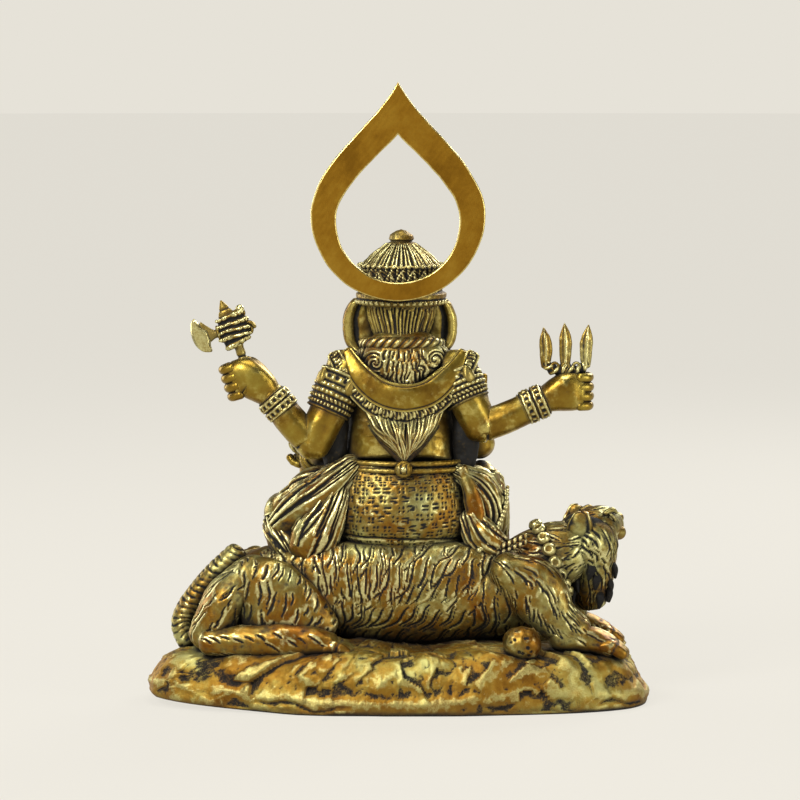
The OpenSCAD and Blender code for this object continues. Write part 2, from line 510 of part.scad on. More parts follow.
module crown() color("gold") fitted("crown") {
    // notch for the halo's lug, open to the top, and the blind hole for its peg
    translate([-lug_w / 2 - pass_gap, lug_front - pass_gap, brim_z]) cube([lug_w + 2 * pass_gap, 20, crown_h]);
    translate([0, peg_y, brim_z - brim_h + 0.8]) cylinder(h = brim_h, r = peg_r + lift_gap, $fn = 24);
}
module head() color("goldenrod") fitted("head");
module hair_curls() color("peru") fitted("hair_curls");
module elephant_trunk() color("goldenrod") fitted("elephant_trunk");
module tusk_left() color("goldenrod") fitted("tusk_left");
module tusk_right() color("goldenrod") fitted("tusk_right");
module ear_left() color("goldenrod") fitted("ear_left");
module ear_right() color("goldenrod") fitted("ear_right");
module necklace() color("gold") fitted("necklace");
module upper_arm_left() color("goldenrod") fitted("upper_arm_left");
module upper_arm_right() color("goldenrod") fitted("upper_arm_right");
module armlet_left() color("gold") fitted("armlet_left");
module armlet_right() color("gold") fitted("armlet_right");
module forearm_left() color("goldenrod") fitted("forearm_left");
module forearm_right() color("goldenrod") fitted("forearm_right");
module bracelet_left() color("gold") fitted("bracelet_left");
module bracelet_right() color("gold") fitted("bracelet_right");
module fist_left() color("goldenrod") fitted("fist_left") socket(axe_foot, axe_lean, axe_shaft_r + lift_gap);
module fist_right() color("goldenrod") fitted("fist_right") socket(trident_foot, 0, trident_shaft_r + lift_gap);
module front_arm_left() color("goldenrod") fitted("front_arm_left");
module front_arm_right() color("goldenrod") fitted("front_arm_right");
module front_hand_left() color("goldenrod") fitted("front_hand_left");
module sweet_bowl() color("gold") fitted("sweet_bowl");
module blessing_hand() color("goldenrod") fitted("blessing_hand");

// The halo's outline: a lower half circle and two flanks that meet in a point
function bezier(p, t) = pow(1 - t, 3) * p[0] + 3 * t * pow(1 - t, 2) * p[1] + 3 * t * t * (1 - t) * p[2] + t * t * t * p[3];
function flame(r, drop, rise, belly, neck) =
    let (flank = [[r, -drop], [r, belly * r], [neck * r, rise - 0.45 * r], [0, rise]])
    concat([for (a = [180 : 6 : 354]) [r * cos(a), -drop + r * sin(a)]],
        [for (k = [0 : 15]) bezier(flank, k / 16)],
        [for (k = [16 : -1 : 1]) let (p = bezier(flank, k / 16)) [-p[0], p[1]]]);
module halo() {
    inner_r = halo_r - halo_band;
    color("darkgoldenrod") {
        translate([halo_x, halo_y + halo_t, halo_centre_z]) rotate([90, 0, 0]) linear_extrude(halo_t) difference() {
            polygon(flame(halo_r, 0, halo_rise, 0.55, 0.23));
            polygon(flame(inner_r, halo_band - halo_foot, halo_rise - halo_crest, 0.4, 0.4));
        }
        translate([-lug_w / 2, lug_front, brim_z]) cube([lug_w, halo_y - lug_front, lug_h]);
        translate([0, peg_y, brim_z - brim_h + 1.6]) cylinder(h = brim_h - 1, r = peg_r, $fn = 32);
    }
}

// The axe in its own plane: +X is towards the blade and +Y up the shaft
module axe() {
    h = axe_h;
    color("goldenrod") translate(axe_foot) rotate([0, axe_lean, 0]) {
        translate([0, 0, -socket_len + 0.4]) cylinder(h = socket_len + 0.4 * h, r = axe_shaft_r, $fn = 32);
        rotate([90, 0, 0]) {
            // socket block with its finial, the scroll at its back and the small knob
            translate([0, 0, -3.2]) linear_extrude(6.4) polygon([[-5, 0.28 * h], [4.6, 0.28 * h], [6, 0.4 * h], [6, 0.62 * h],
                [5.2, 0.78 * h], [-5.2, 0.78 * h], [-6.2, 0.55 * h], [-6, 0.36 * h]]);
            translate([0, 0, -1.8]) linear_extrude(3.6) polygon([[-2.6, 0.77 * h], [5, 0.77 * h], [2.6, 0.9 * h], [1.4, h],
                [0.2, 0.9 * h]]);
            translate([-4.4, 0.81 * h, -1.8]) cylinder(h = 3.6, r = 1.7, $fn = 16);
            // crescent blade on its waisted neck
            translate([0, 0, -1.4]) linear_extrude(2.8) polygon([[5.8, 0.42 * h], [5.8, 0.58 * h], [9, 0.57 * h],
                [0.72 * axe_reach, 0.66 * h], [0.8 * axe_reach, 0.84 * h], [0.93 * axe_reach, 0.74 * h],
                [axe_reach, 0.58 * h], [0.97 * axe_reach, 0.42 * h], [0.86 * axe_reach, 0.3 * h],
                [0.66 * axe_reach, 0.24 * h], [0.62 * axe_reach, 0.36 * h], [9, 0.44 * h]]);
        }
    }
}

// One leaf-shaped prong from its root at [x, 0] to a tip at [x + lean, h]
function prong(x, w, h, lean) = [[x - 0.3 * w, 0], [x - 0.5 * w, 0.45 * h], [x - 0.36 * w + 0.6 * lean, 0.8 * h], [x + lean, h],
    [x + 0.4 * w + 0.6 * lean, 0.8 * h], [x + 0.5 * w, 0.45 * h], [x + 0.3 * w, 0]];
module trident() {
    w = trident_w;
    h = trident_h;
    color("goldenrod") translate(trident_foot) {
        translate([0, 0, -socket_len + 0.4]) cylinder(h = socket_len + 2, r = trident_shaft_r, $fn = 32);
        rotate([90, 0, 0]) translate([0, 0, -1.7]) linear_extrude(3.4) {
            translate([0, 4]) polygon(prong(0, 4.6, h - 4, 0.6));
            translate([0, 2.5]) polygon(prong(w / 2 - 2.3, 4.6, h - 3.5, 1.4));
            translate([0, 2.5]) polygon(prong(2.3 - w / 2, 4.6, h - 2.5, -0.6));
            polygon([[2 - w / 2, 0.6], [-w / 2, 3], [-w / 2, 7], [3.4 - w / 2, 7], [5 - w / 2, 5], [-2, 5.4], [2, 5.4],
                [w / 2 - 5, 5], [w / 2 - 3.4, 7], [w / 2, 7], [w / 2, 3], [w / 2 - 2, 0.6]]);
        }
    }
}

rock_plinth();
beast_body();
beast_hind_leg_near();
beast_hind_leg_far();
beast_foreleg_near();
beast_foreleg_far();
beast_tail();
beast_neck();
beast_head();
beast_ear_near();
beast_ear_far();
beast_collar();
loose_stone();
belt();
hips();
torso();
belt_knot();
leg_left();
leg_right();
foot_left();
foot_right();
shawl();
shawl_border();
hair_tail();
crown();
head();
hair_curls();
elephant_trunk();
tusk_left();
tusk_right();
ear_left();
ear_right();
necklace();
upper_arm_left();
upper_arm_right();
armlet_left();
armlet_right();
forearm_left();
forearm_right();
bracelet_left();
bracelet_right();
fist_left();
fist_right();
front_arm_left();
front_arm_right();
front_hand_left();
sweet_bowl();
blessing_hand();
halo();
axe();
trident();
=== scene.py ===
import math
import bpy
import mathutils
import numpy as np
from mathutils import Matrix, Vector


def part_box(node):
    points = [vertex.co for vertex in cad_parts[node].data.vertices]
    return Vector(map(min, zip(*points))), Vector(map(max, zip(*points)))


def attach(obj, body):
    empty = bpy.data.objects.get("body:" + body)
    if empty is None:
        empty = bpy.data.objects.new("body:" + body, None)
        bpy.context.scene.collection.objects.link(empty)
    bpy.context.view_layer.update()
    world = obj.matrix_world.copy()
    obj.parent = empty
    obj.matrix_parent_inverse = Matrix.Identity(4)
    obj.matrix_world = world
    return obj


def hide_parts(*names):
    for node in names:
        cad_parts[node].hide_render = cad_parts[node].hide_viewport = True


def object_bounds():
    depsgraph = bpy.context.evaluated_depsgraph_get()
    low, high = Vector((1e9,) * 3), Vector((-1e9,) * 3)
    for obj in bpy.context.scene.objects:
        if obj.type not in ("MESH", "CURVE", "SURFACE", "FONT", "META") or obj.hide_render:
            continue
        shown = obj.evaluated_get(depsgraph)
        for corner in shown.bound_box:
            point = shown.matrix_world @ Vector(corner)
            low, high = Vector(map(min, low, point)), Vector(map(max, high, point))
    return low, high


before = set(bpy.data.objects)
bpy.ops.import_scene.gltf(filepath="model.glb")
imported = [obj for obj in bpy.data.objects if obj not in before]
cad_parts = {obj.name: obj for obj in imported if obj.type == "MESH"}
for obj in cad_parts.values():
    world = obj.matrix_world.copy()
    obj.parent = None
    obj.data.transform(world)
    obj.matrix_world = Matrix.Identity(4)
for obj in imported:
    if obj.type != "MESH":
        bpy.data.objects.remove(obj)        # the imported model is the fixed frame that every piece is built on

cadLow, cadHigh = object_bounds()
mm = 0.001
up3 = np.array([0.0, 0.0, 1.0])


def corners(node):  # lowest and highest corner of a CAD node, in mm
    low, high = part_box(node)
    return np.array(low) / mm, np.array(high) / mm


# The middle of a CAD node's box, in mm: half the sum of its two corners
def middle(node):
    low, high = corners(node)
    return (low + high) / 2


# Heights and places that the pieces share, in mm
crownZ = corners("crown")[0][2] + 0.4
shoulderZ = crownZ - 20
waistZ = middle("belt")[2] - 0.05
backZ = waistZ - 35
trunkZ = backZ - 18.5
groundZ = backZ - 39
plinthLow, plinthHigh = corners("rock_plinth")
plinthW = plinthHigh[0] - plinthLow[0]
plinthD = plinthHigh[1] - plinthLow[1]
hipX, shoulderX = 50.0, -50.0

# Curves and surfaces


# Three numbers as an array of floats
def vec(*v):
    return np.array(v, float)


# A vector divided by its own length
def unit(v):
    return v / np.maximum(np.linalg.norm(v, axis=-1, keepdims=True), 1e-9)


# From 0 at low to 1 at high along t squared times (3 - 2 t), flat outside
def smoothStep(x, low, high):
    t = np.clip((x - low) / (high - low), 0, 1)
    return t * t * (3 - 2 * t)


def bell(x, width):  # 1 at zero, falling off as e to the minus square of x over width
    return np.exp(-(x / width) ** 2)


def curveThrough(stations, count):  # Catmull-Rom curve through the stations, count points
    p = np.asarray(stations, float)
    last = len(p) - 1
    t = np.linspace(0, last, count)
    i = np.minimum(t.astype(int), last - 1)
    f = (t - i)[:, None]
    a, b, c, d = p[np.maximum(i - 1, 0)], p[i], p[i + 1], p[np.minimum(i + 2, last)]
    return 0.5 * (2 * b + (c - a) * f + (2 * a - 5 * b + 4 * c - d) * f**2 + (3 * b - 3 * c + d - a) * f**3)


def evenly(stations, spacing):  # the same curve, its points a fixed distance apart
    fine = curveThrough(stations, 40 * len(stations))
    run = np.concatenate([[0], np.cumsum(np.linalg.norm(np.diff(fine[:, :3], axis=0), axis=1))])
    count = max(4, int(run[-1] / spacing) + 1)
    at = np.linspace(0, run[-1], count)
    return np.stack([np.interp(at, run, fine[:, k]) for k in range(fine.shape[1])], 1), at


# Smooth random height from -1 to 1: random numbers on a cubic lattice, blended
def valueNoise(points, size, seed):
    lattice = np.random.default_rng(seed).uniform(-1, 1, (24, 24, 24))
    q = points / size + 240
    i = np.floor(q).astype(int)
    f = q - i
    f = f * f * (3 - 2 * f)
    total = 0
    for corner in np.ndindex(2, 2, 2):
        w = np.prod(np.where(np.array(corner) == 1, f, 1 - f), axis=-1)
        j = (i + np.array(corner)) % 24
        total = total + w * lattice[j[..., 0], j[..., 1], j[..., 2]]
    return total


def gridNormals(points, loop=False):  # cross product of the steps round the columns and along the rows
    across = np.roll(points, -1, 1) - np.roll(points, 1, 1)
    if loop:
        along = np.roll(points, -1, 0) - np.roll(points, 1, 0)
    else:
        along = np.gradient(points, axis=0)
    return unit(np.cross(across, along))


def blurred(h, rows, columns, loop=False):  # box mean over the grid, which wraps round its columns
    for axis, size, wrap in ((0, rows, loop), (1, columns, True)):
        size = max(1, int(size))
        pad = [(0, 0), (0, 0)]
        pad[axis] = (size, size)
        big = np.cumsum(np.pad(h, pad, mode="wrap" if wrap else "edge"), axis=axis)
        n = h.shape[axis]
        high = np.take(big, np.arange(2 * size, n + 2 * size), axis=axis)
        low = np.take(big, np.arange(0, n), axis=axis)
        h = (high - low) / (2 * size)
    return h


meshScale = 1.12  # the quad size of every limb, as a share of the spacing it asks for


# A tube about the curve through the stations [x, y, z, radius across, radius up], each ring an ellipse,
# closed by a dome at each end. Gives the grid, its place along the limb and round it, in mm.
def limb(stations, hint=(0, 0, 1), spacing=0.6, domes=(0.8, 0.8), turn=-90, square=2.0):
    spacing *= meshScale
    s, run = evenly(stations, spacing)
    t = unit(np.gradient(s[:, :3], axis=0))
    side = unit(np.cross(np.asarray(hint, float), t))
    up = np.cross(t, side)
    r0, r1 = min(s[0, 3:5]) * domes[0], min(s[-1, 3:5]) * domes[1]
    n0, n1 = (max(3, int(1.4 * r / spacing)) for r in (r0, r1))
    a0 = np.linspace(math.pi / 2 * 0.97, 0, n0, endpoint=False)
    a1 = np.linspace(math.pi / 2 * 0.97, 0, n1, endpoint=False)[::-1]
    centre = np.concatenate([s[0, :3] - t[0] * r0 * np.sin(a0)[:, None], s[:, :3],
                             s[-1, :3] + t[-1] * r1 * np.sin(a1)[:, None]])
    scale = np.concatenate([np.cos(a0), np.ones(len(s)), np.cos(a1)])
    pick = np.concatenate([np.zeros(n0, int), np.arange(len(s)), np.full(n1, len(s) - 1)])
    columns = max(10, int(2 * math.pi * max(s[:, 3:5].mean(1)) / spacing))
    a = np.radians(turn) + np.arange(columns) * 2 * math.pi / columns
    ca = np.sign(np.cos(a)) * np.abs(np.cos(a)) ** (2 / square)
    sa = np.sign(np.sin(a)) * np.abs(np.sin(a)) ** (2 / square)
    across = side[pick][:, None] * (s[pick, 3] * scale)[:, None, None] * ca[None, :, None]
    raised = up[pick][:, None] * (s[pick, 4] * scale)[:, None, None] * sa[None, :, None]
    along = np.concatenate([-r0 * np.sin(a0), run, run[-1] + r1 * np.sin(a1)])
    points = centre[:, None] + across + raised
    return {"points": points, "along": np.repeat(along[:, None], columns, 1),
            "angle": np.repeat(np.degrees(a)[None], len(along), 0),
            "length": run[-1], "spacing": spacing, "loop": False}


def angleOf(surface):  # the angle round the form at every point, in radians
    return np.radians(surface["angle"])


def upright(stations, spacing, **more):  # a limb whose sides are measured against the front-to-back axis
    return limb(stations, hint=(0, 1, 0), spacing=spacing, **more)


# A form turned about +Z: the profile [height, radius] carried round the centre
def turned(profile, centre, spacing=0.5, smooth=True):
    p = np.asarray(profile, float)
    line = np.stack([np.zeros(len(p)), p[:, 1], p[:, 0]], 1)
    if smooth:
        s, run = evenly(line, spacing)
    else:
        step = np.concatenate([[0], np.cumsum(np.linalg.norm(np.diff(line, axis=0), axis=1))])
        run = np.linspace(0, step[-1], int(step[-1] / spacing) + 2)
        s = np.stack([np.interp(run, step, line[:, k]) for k in range(3)], 1)
    columns = max(16, int(2 * math.pi * s[:, 1].max() / spacing))
    a = np.arange(columns) * 2 * math.pi / columns
    r, z = s[:, 1][:, None], s[:, 2][:, None]
    points = np.stack([r * np.cos(a), r * np.sin(a), z + 0 * a], -1) + np.asarray(centre, float)
    return {"points": points, "along": np.repeat(run[:, None], columns, 1),
            "angle": np.repeat(np.degrees(a)[None], len(run), 0),
            "length": run[-1], "spacing": spacing, "loop": False}


# A hoop: a small circle of radius r carried round an ellipse. lobes and twist turn it into laid strands.
def torus(centre, rx, ry, r, spacing=0.4, axis=(0, 0, 1), twist=0, lobes=0, depth=0.0):
    axis = unit(np.asarray(axis, float))
    east = unit(np.cross(axis, vec(0.13, 1, 0.05)))
    north = np.cross(axis, east)
    rows, columns = int(2 * math.pi * max(rx, ry) / spacing), max(8, int(2 * math.pi * r / spacing))
    u = np.arange(rows)[:, None] * 2 * math.pi / rows
    v = np.arange(columns)[None] * 2 * math.pi / columns
    rr = r + (depth * np.abs(np.cos((lobes * v + twist * u) / 2)) if lobes else 0)
    spoke = east * np.cos(u)[..., None] * rx + north * np.sin(u)[..., None] * ry
    out = unit(spoke)
    points = np.asarray(centre, float) + spoke + out * (rr * np.cos(v))[...,
            None] - axis * (rr * np.sin(v))[..., None]
    return {"points": points, "along": u * max(rx, ry) + 0 * v, "angle": np.degrees(v) + 0 * u,
            "length": 2 * math.pi * rx,
            "spacing": spacing, "loop": True}


# Raises the grid along its normals by height, in mm, and works out how rubbed each point is: a half where
# it is level with what is within size mm of it, less in a recess, more on a ridge. tone shifts the whole part;
# the strongly negative tones that some parts are given are painted shade, not wear
def worked(surface, height=0.0, size=1.6, tone=0.0, floor=0.5):
    points, loop = surface["points"], surface["loop"]
    h = np.broadcast_to(np.asarray(height, float), points.shape[:2])
    points = points + gridNormals(points, loop) * h[..., None]
    k = size / surface["spacing"]
    high = h - blurred(blurred(h, k, k, loop), k, k, loop)
    wearAndShade = np.clip(floor + high / 0.62 + tone, 0, 1)
    rows, columns = wearAndShade.shape
    index = np.arange(rows * columns).reshape(rows, columns)
    a, b = (index, np.roll(index, -1, 0)) if loop else (index[:-1], index[1:])
    quads = np.stack([a, np.roll(a, -1, 1), np.roll(b, -1, 1), b], -1).reshape(-1, 4)
    flat, tris = points.reshape(-1, 3), np.zeros((0, 3), int)
    wearAndShade = wearAndShade.ravel()
    if not loop:
        count = rows * columns
        flat = np.concatenate([flat, points[:1].mean(1), points[-1:].mean(1)])
        wearAndShade = np.concatenate([wearAndShade, wearAndShade[:1], wearAndShade[-1:]])
        first, last = index[0], index[-1]
        tris = np.concatenate([np.stack([np.roll(first, -1), first, np.full(columns, count)], -1),
                               np.stack([last, np.roll(last, -1), np.full(columns, count + 1)], -1)])
    return outward({"points": flat, "quads": quads, "tris": tris, "wearAndShade": wearAndShade})


def outward(part):  # turns the faces round where the volume that they close is negative
    p = part["points"] - part["points"].mean(0)
    volume = 0
    for f in (part["quads"][:, :3], part["quads"][:, [0, 2, 3]], part["tris"]):
        volume += np.einsum("ij,ij->i", p[f[:, 0]], np.cross(p[f[:, 1]], p[f[:, 2]])).sum()
    if volume < 0:
        part["quads"], part["tris"] = part["quads"][:, ::-1], part["tris"][:, ::-1]
    return part


# Small balls: one ball of 6 rings and 9 columns, copied to each centre
def beads(centres, radii, squeeze=(1, 1, 1), wearAndShade=0.85):
    centres = np.atleast_2d(np.asarray(centres, float))
    radii = np.broadcast_to(np.asarray(radii, float), len(centres))
    v, u = np.linspace(0.28, math.pi - 0.28, 6)[:, None], np.arange(9)[None] * 2 * math.pi / 9
    ball = np.stack([np.sin(v) * np.cos(u), np.sin(v) * np.sin(u), np.cos(v) + 0 * u], -1).reshape(-1, 3)
    ball = np.concatenate([ball, [[0, 0, 1], [0, 0, -1]]]) * np.asarray(squeeze, float)
    index = np.arange(54).reshape(6, 9)
    quads = np.stack([index[:-1], index[1:], np.roll(index[1:], -1, 1), np.roll(index[:-1], -1, 1)],
                     -1).reshape(-1, 4)
    tris = np.concatenate([np.stack([index[0], np.roll(index[0], -1), np.full(9, 54)], -1),
                           np.stack([np.roll(index[-1], -1), index[-1], np.full(9, 55)], -1)])
    step = (np.arange(len(centres)) * len(ball))[:, None, None]
    points = (centres[:, None] + ball[None] * radii[:, None, None]).reshape(-1, 3)
    part = {"points": points, "quads": (quads[None] + step).reshape(-1, 4),
            "tris": (tris[None] + step).reshape(-1, 3),
            "wearAndShade": np.full(len(points), wearAndShade)}
    return outward(part)


# A flat piece: the outline, points round it in order, shrunk a little at each face to break its edges, and
# closed over each face by rings that shrink to its middle, crowned by a height in mm
def plate(outline, centre, right, up, thick, crown=0.0, bevel=0.35, wearAndShade=0.6):
    o = np.asarray(outline, float)
    mid = o.mean(0)
    right, up = unit(np.asarray(right, float)), unit(np.asarray(up, float))
    out = np.cross(right, up)
    steps = [(-thick / 2, k) for k in (0.02, 0.3, 0.6, 0.85)] + [(-thick / 2, -bevel),
            (-thick / 2 + bevel, 0), (thick / 2 - bevel, 0), (thick / 2, -bevel)]
    steps += [(thick / 2, k) for k in (0.85, 0.6, 0.3, 0.02)]
    normal = np.roll(o, -1, 0) - np.roll(o, 1, 0)
    normal = unit(np.stack([normal[:, 1], -normal[:, 0]], 1))
    area = np.sum(o[:, 0] * np.roll(o[:, 1], -1) - o[:, 1] * np.roll(o[:, 0], -1))
    normal = normal if area > 0 else -normal
    rings = []
    for depth, inset in steps:
        flat = mid + (o - mid) * inset if inset > 0 else o + normal * inset
        swell = np.sign(depth) * crown * (1 - inset * inset if inset > 0 else 0)
        rings.append(np.asarray(centre, float) + flat[:, :1] * right + flat[:, 1:] * up
                     + out * (depth + swell))
    return worked({"points": np.array(rings), "spacing": 0.5, "loop": False}, 0.0, tone=wearAndShade - 0.5)


# Joins the parts, whose points are in mm, into one mesh with a float attribute that carries their wear and
# painted shade, and ties it to the frame
def makePiece(name, parts, finish, body, nodes, smooth=True):
    parts = [p for p in parts if p is not None]
    start = np.cumsum([0] + [len(p["points"]) for p in parts])
    points = np.concatenate([p["points"] for p in parts]) * mm
    quads = np.concatenate([p["quads"] + k for p, k in zip(parts, start)])
    tris = np.concatenate([p["tris"] + k for p, k in zip(parts, start)])
    mesh = bpy.data.meshes.new(name)
    mesh.vertices.add(len(points))
    mesh.vertices.foreach_set("co", points.ravel())
    mesh.loops.add(quads.size + tris.size)
    mesh.loops.foreach_set("vertex_index", np.concatenate([quads.ravel(), tris.ravel()]).astype(np.int32))
    mesh.polygons.add(len(quads) + len(tris))
    firsts = np.concatenate([np.arange(len(quads)) * 4, quads.size + np.arange(len(tris)) * 3])
    mesh.polygons.foreach_set("loop_start", firsts.astype(np.int32))
    mesh.update(calc_edges=True)
    mesh.validate()
    mesh.attributes.new("wearAndShade", "FLOAT", "POINT").data.foreach_set("value",
            np.concatenate([p["wearAndShade"] for p in parts]).astype(np.float32))
    mesh.polygons.foreach_set("use_smooth", np.full(len(mesh.polygons), smooth))
    piece = bpy.data.objects.new(name, mesh)
    bpy.context.scene.collection.objects.link(piece)
    mesh.materials.append(finish[0])
    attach(piece, body)
    if nodes:
        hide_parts(*nodes)
    return piece


# Relief drawn stroke by stroke on a flat map


# A height map in mm over width x height mm, that may wrap across
def newMap(width, height, step=0.2, wrap=False):
    return {"h": np.zeros((int(height / step) + 1, int(width / step) + (0 if wrap else 1))), "step": step,
            "wrap": wrap}


# Draws a groove (height below zero) or a ridge along the line: the profile is 1 less the square of the
# distance over the radius, and the radius narrows by taper towards both ends
def stroke(chart, line, radius, height, taper=0.6):
    h, step = chart["h"], chart["step"]
    line = np.asarray(line, float)
    n = len(line) - 1
    for k in range(n):
        a, b = line[k], line[k + 1]
        share = math.sin(math.pi * (k + 0.5) / n) if n > 1 else 1.0
        r = radius * (1 - taper + taper * share)
        low = np.floor((np.minimum(a, b) - r) / step).astype(int)
        high = np.ceil((np.maximum(a, b) + r) / step).astype(int) + 1
        rows = np.arange(max(low[1], 0), min(high[1], h.shape[0]))
        columns = np.arange(low[0], high[0])
        if not chart["wrap"]:
            columns = columns[(columns >= 0) & (columns < h.shape[1])]
        if not len(rows) or not len(columns):
            continue
        x, y = np.meshgrid(columns * step, rows * step)
        d = b - a
        t = np.clip(((x - a[0]) * d[0] + (y - a[1]) * d[1]) / max(d @ d, 1e-9), 0, 1)
        near = np.hypot(x - a[0] - t * d[0], y - a[1] - t * d[1]) / max(r, 1e-6)
        value = height * np.clip(1 - near**2, 0, 1)
        spot = np.ix_(rows, columns % h.shape[1])
        h[spot] = np.maximum(h[spot], value) if height > 0 else np.minimum(h[spot], value)


# A line that sets out at heading degrees, turns by bend degrees over its length and sways to both sides
def wave(start, heading, length, bend=0.0, sway=0.0, count=9):
    s = np.linspace(0, 1, count)
    turn = np.radians(heading + bend * (s - 0.5) + sway * np.sin(2 * math.pi * s))
    step = length / (count - 1)
    x = np.concatenate([[0], np.cumsum(np.cos(turn[:-1]) * step)])
    y = np.concatenate([[0], np.cumsum(np.sin(turn[:-1]) * step)])
    return np.stack([start[0] + x, start[1] + y], 1)


# A combed lock of fur: a raised lip beside a thin dark groove
def furStroke(chart, line, radius=0.5, depth=0.55, lip=0.35):
    d = np.gradient(line, axis=0)
    off = unit(np.stack([-d[:, 1], d[:, 0]], 1)) * radius * 1.5
    stroke(chart, line + off, radius * 1.5, lip)
    stroke(chart, line, radius, -depth)


def readMap(chart, u, v):  # height at the places u, v by blending the four nearest cells
    h, step = chart["h"], chart["step"]
    x, y = np.asarray(u) / step, np.clip(np.asarray(v) / step, 0, h.shape[0] - 1.001)
    if not chart["wrap"]:
        x = np.clip(x, 0, h.shape[1] - 1.001)
    i, j = np.floor(x).astype(int), np.floor(y).astype(int)
    f, g = x - i, y - j
    n = h.shape[1]
    low = h[j, i % n] * (1 - f) + h[j, (i + 1) % n] * f
    high = h[j + 1, i % n] * (1 - f) + h[j + 1, (i + 1) % n] * f
    return low * (1 - g) + high * g


# The unevenness of a piece cast from hand-worked wax: wide soft lumps and small dents
def hammered(surface, seed, lump=0.5, lumpSize=9.0, pit=0.12, pitSize=1.6):
    p = surface["points"]
    return lump * valueNoise(p, lumpSize, seed) + pit * valueNoise(p, pitSize, seed + 1)


# Materials


def linear(code):  # sRGB hex value to a linear colour
    c = np.array([int(code[i:i + 2], 16) / 255 for i in (1, 3, 5)])
    return (*np.where(c <= 0.04045, c / 12.92, ((c + 0.055) / 1.055) ** 2.4), 1.0)


# Adds a node; an input is a value or the output that it is linked to
def addNode(tree, kind, inputs=None, **settings):
    node = tree.nodes.new(kind)
    for key, value in settings.items():
        setattr(node, key, value)
    for key, value in (inputs or {}).items():
        if isinstance(value, bpy.types.NodeSocket):
            tree.links.new(value, node.inputs[key])
        else:
            node.inputs[key].default_value = value
    return node
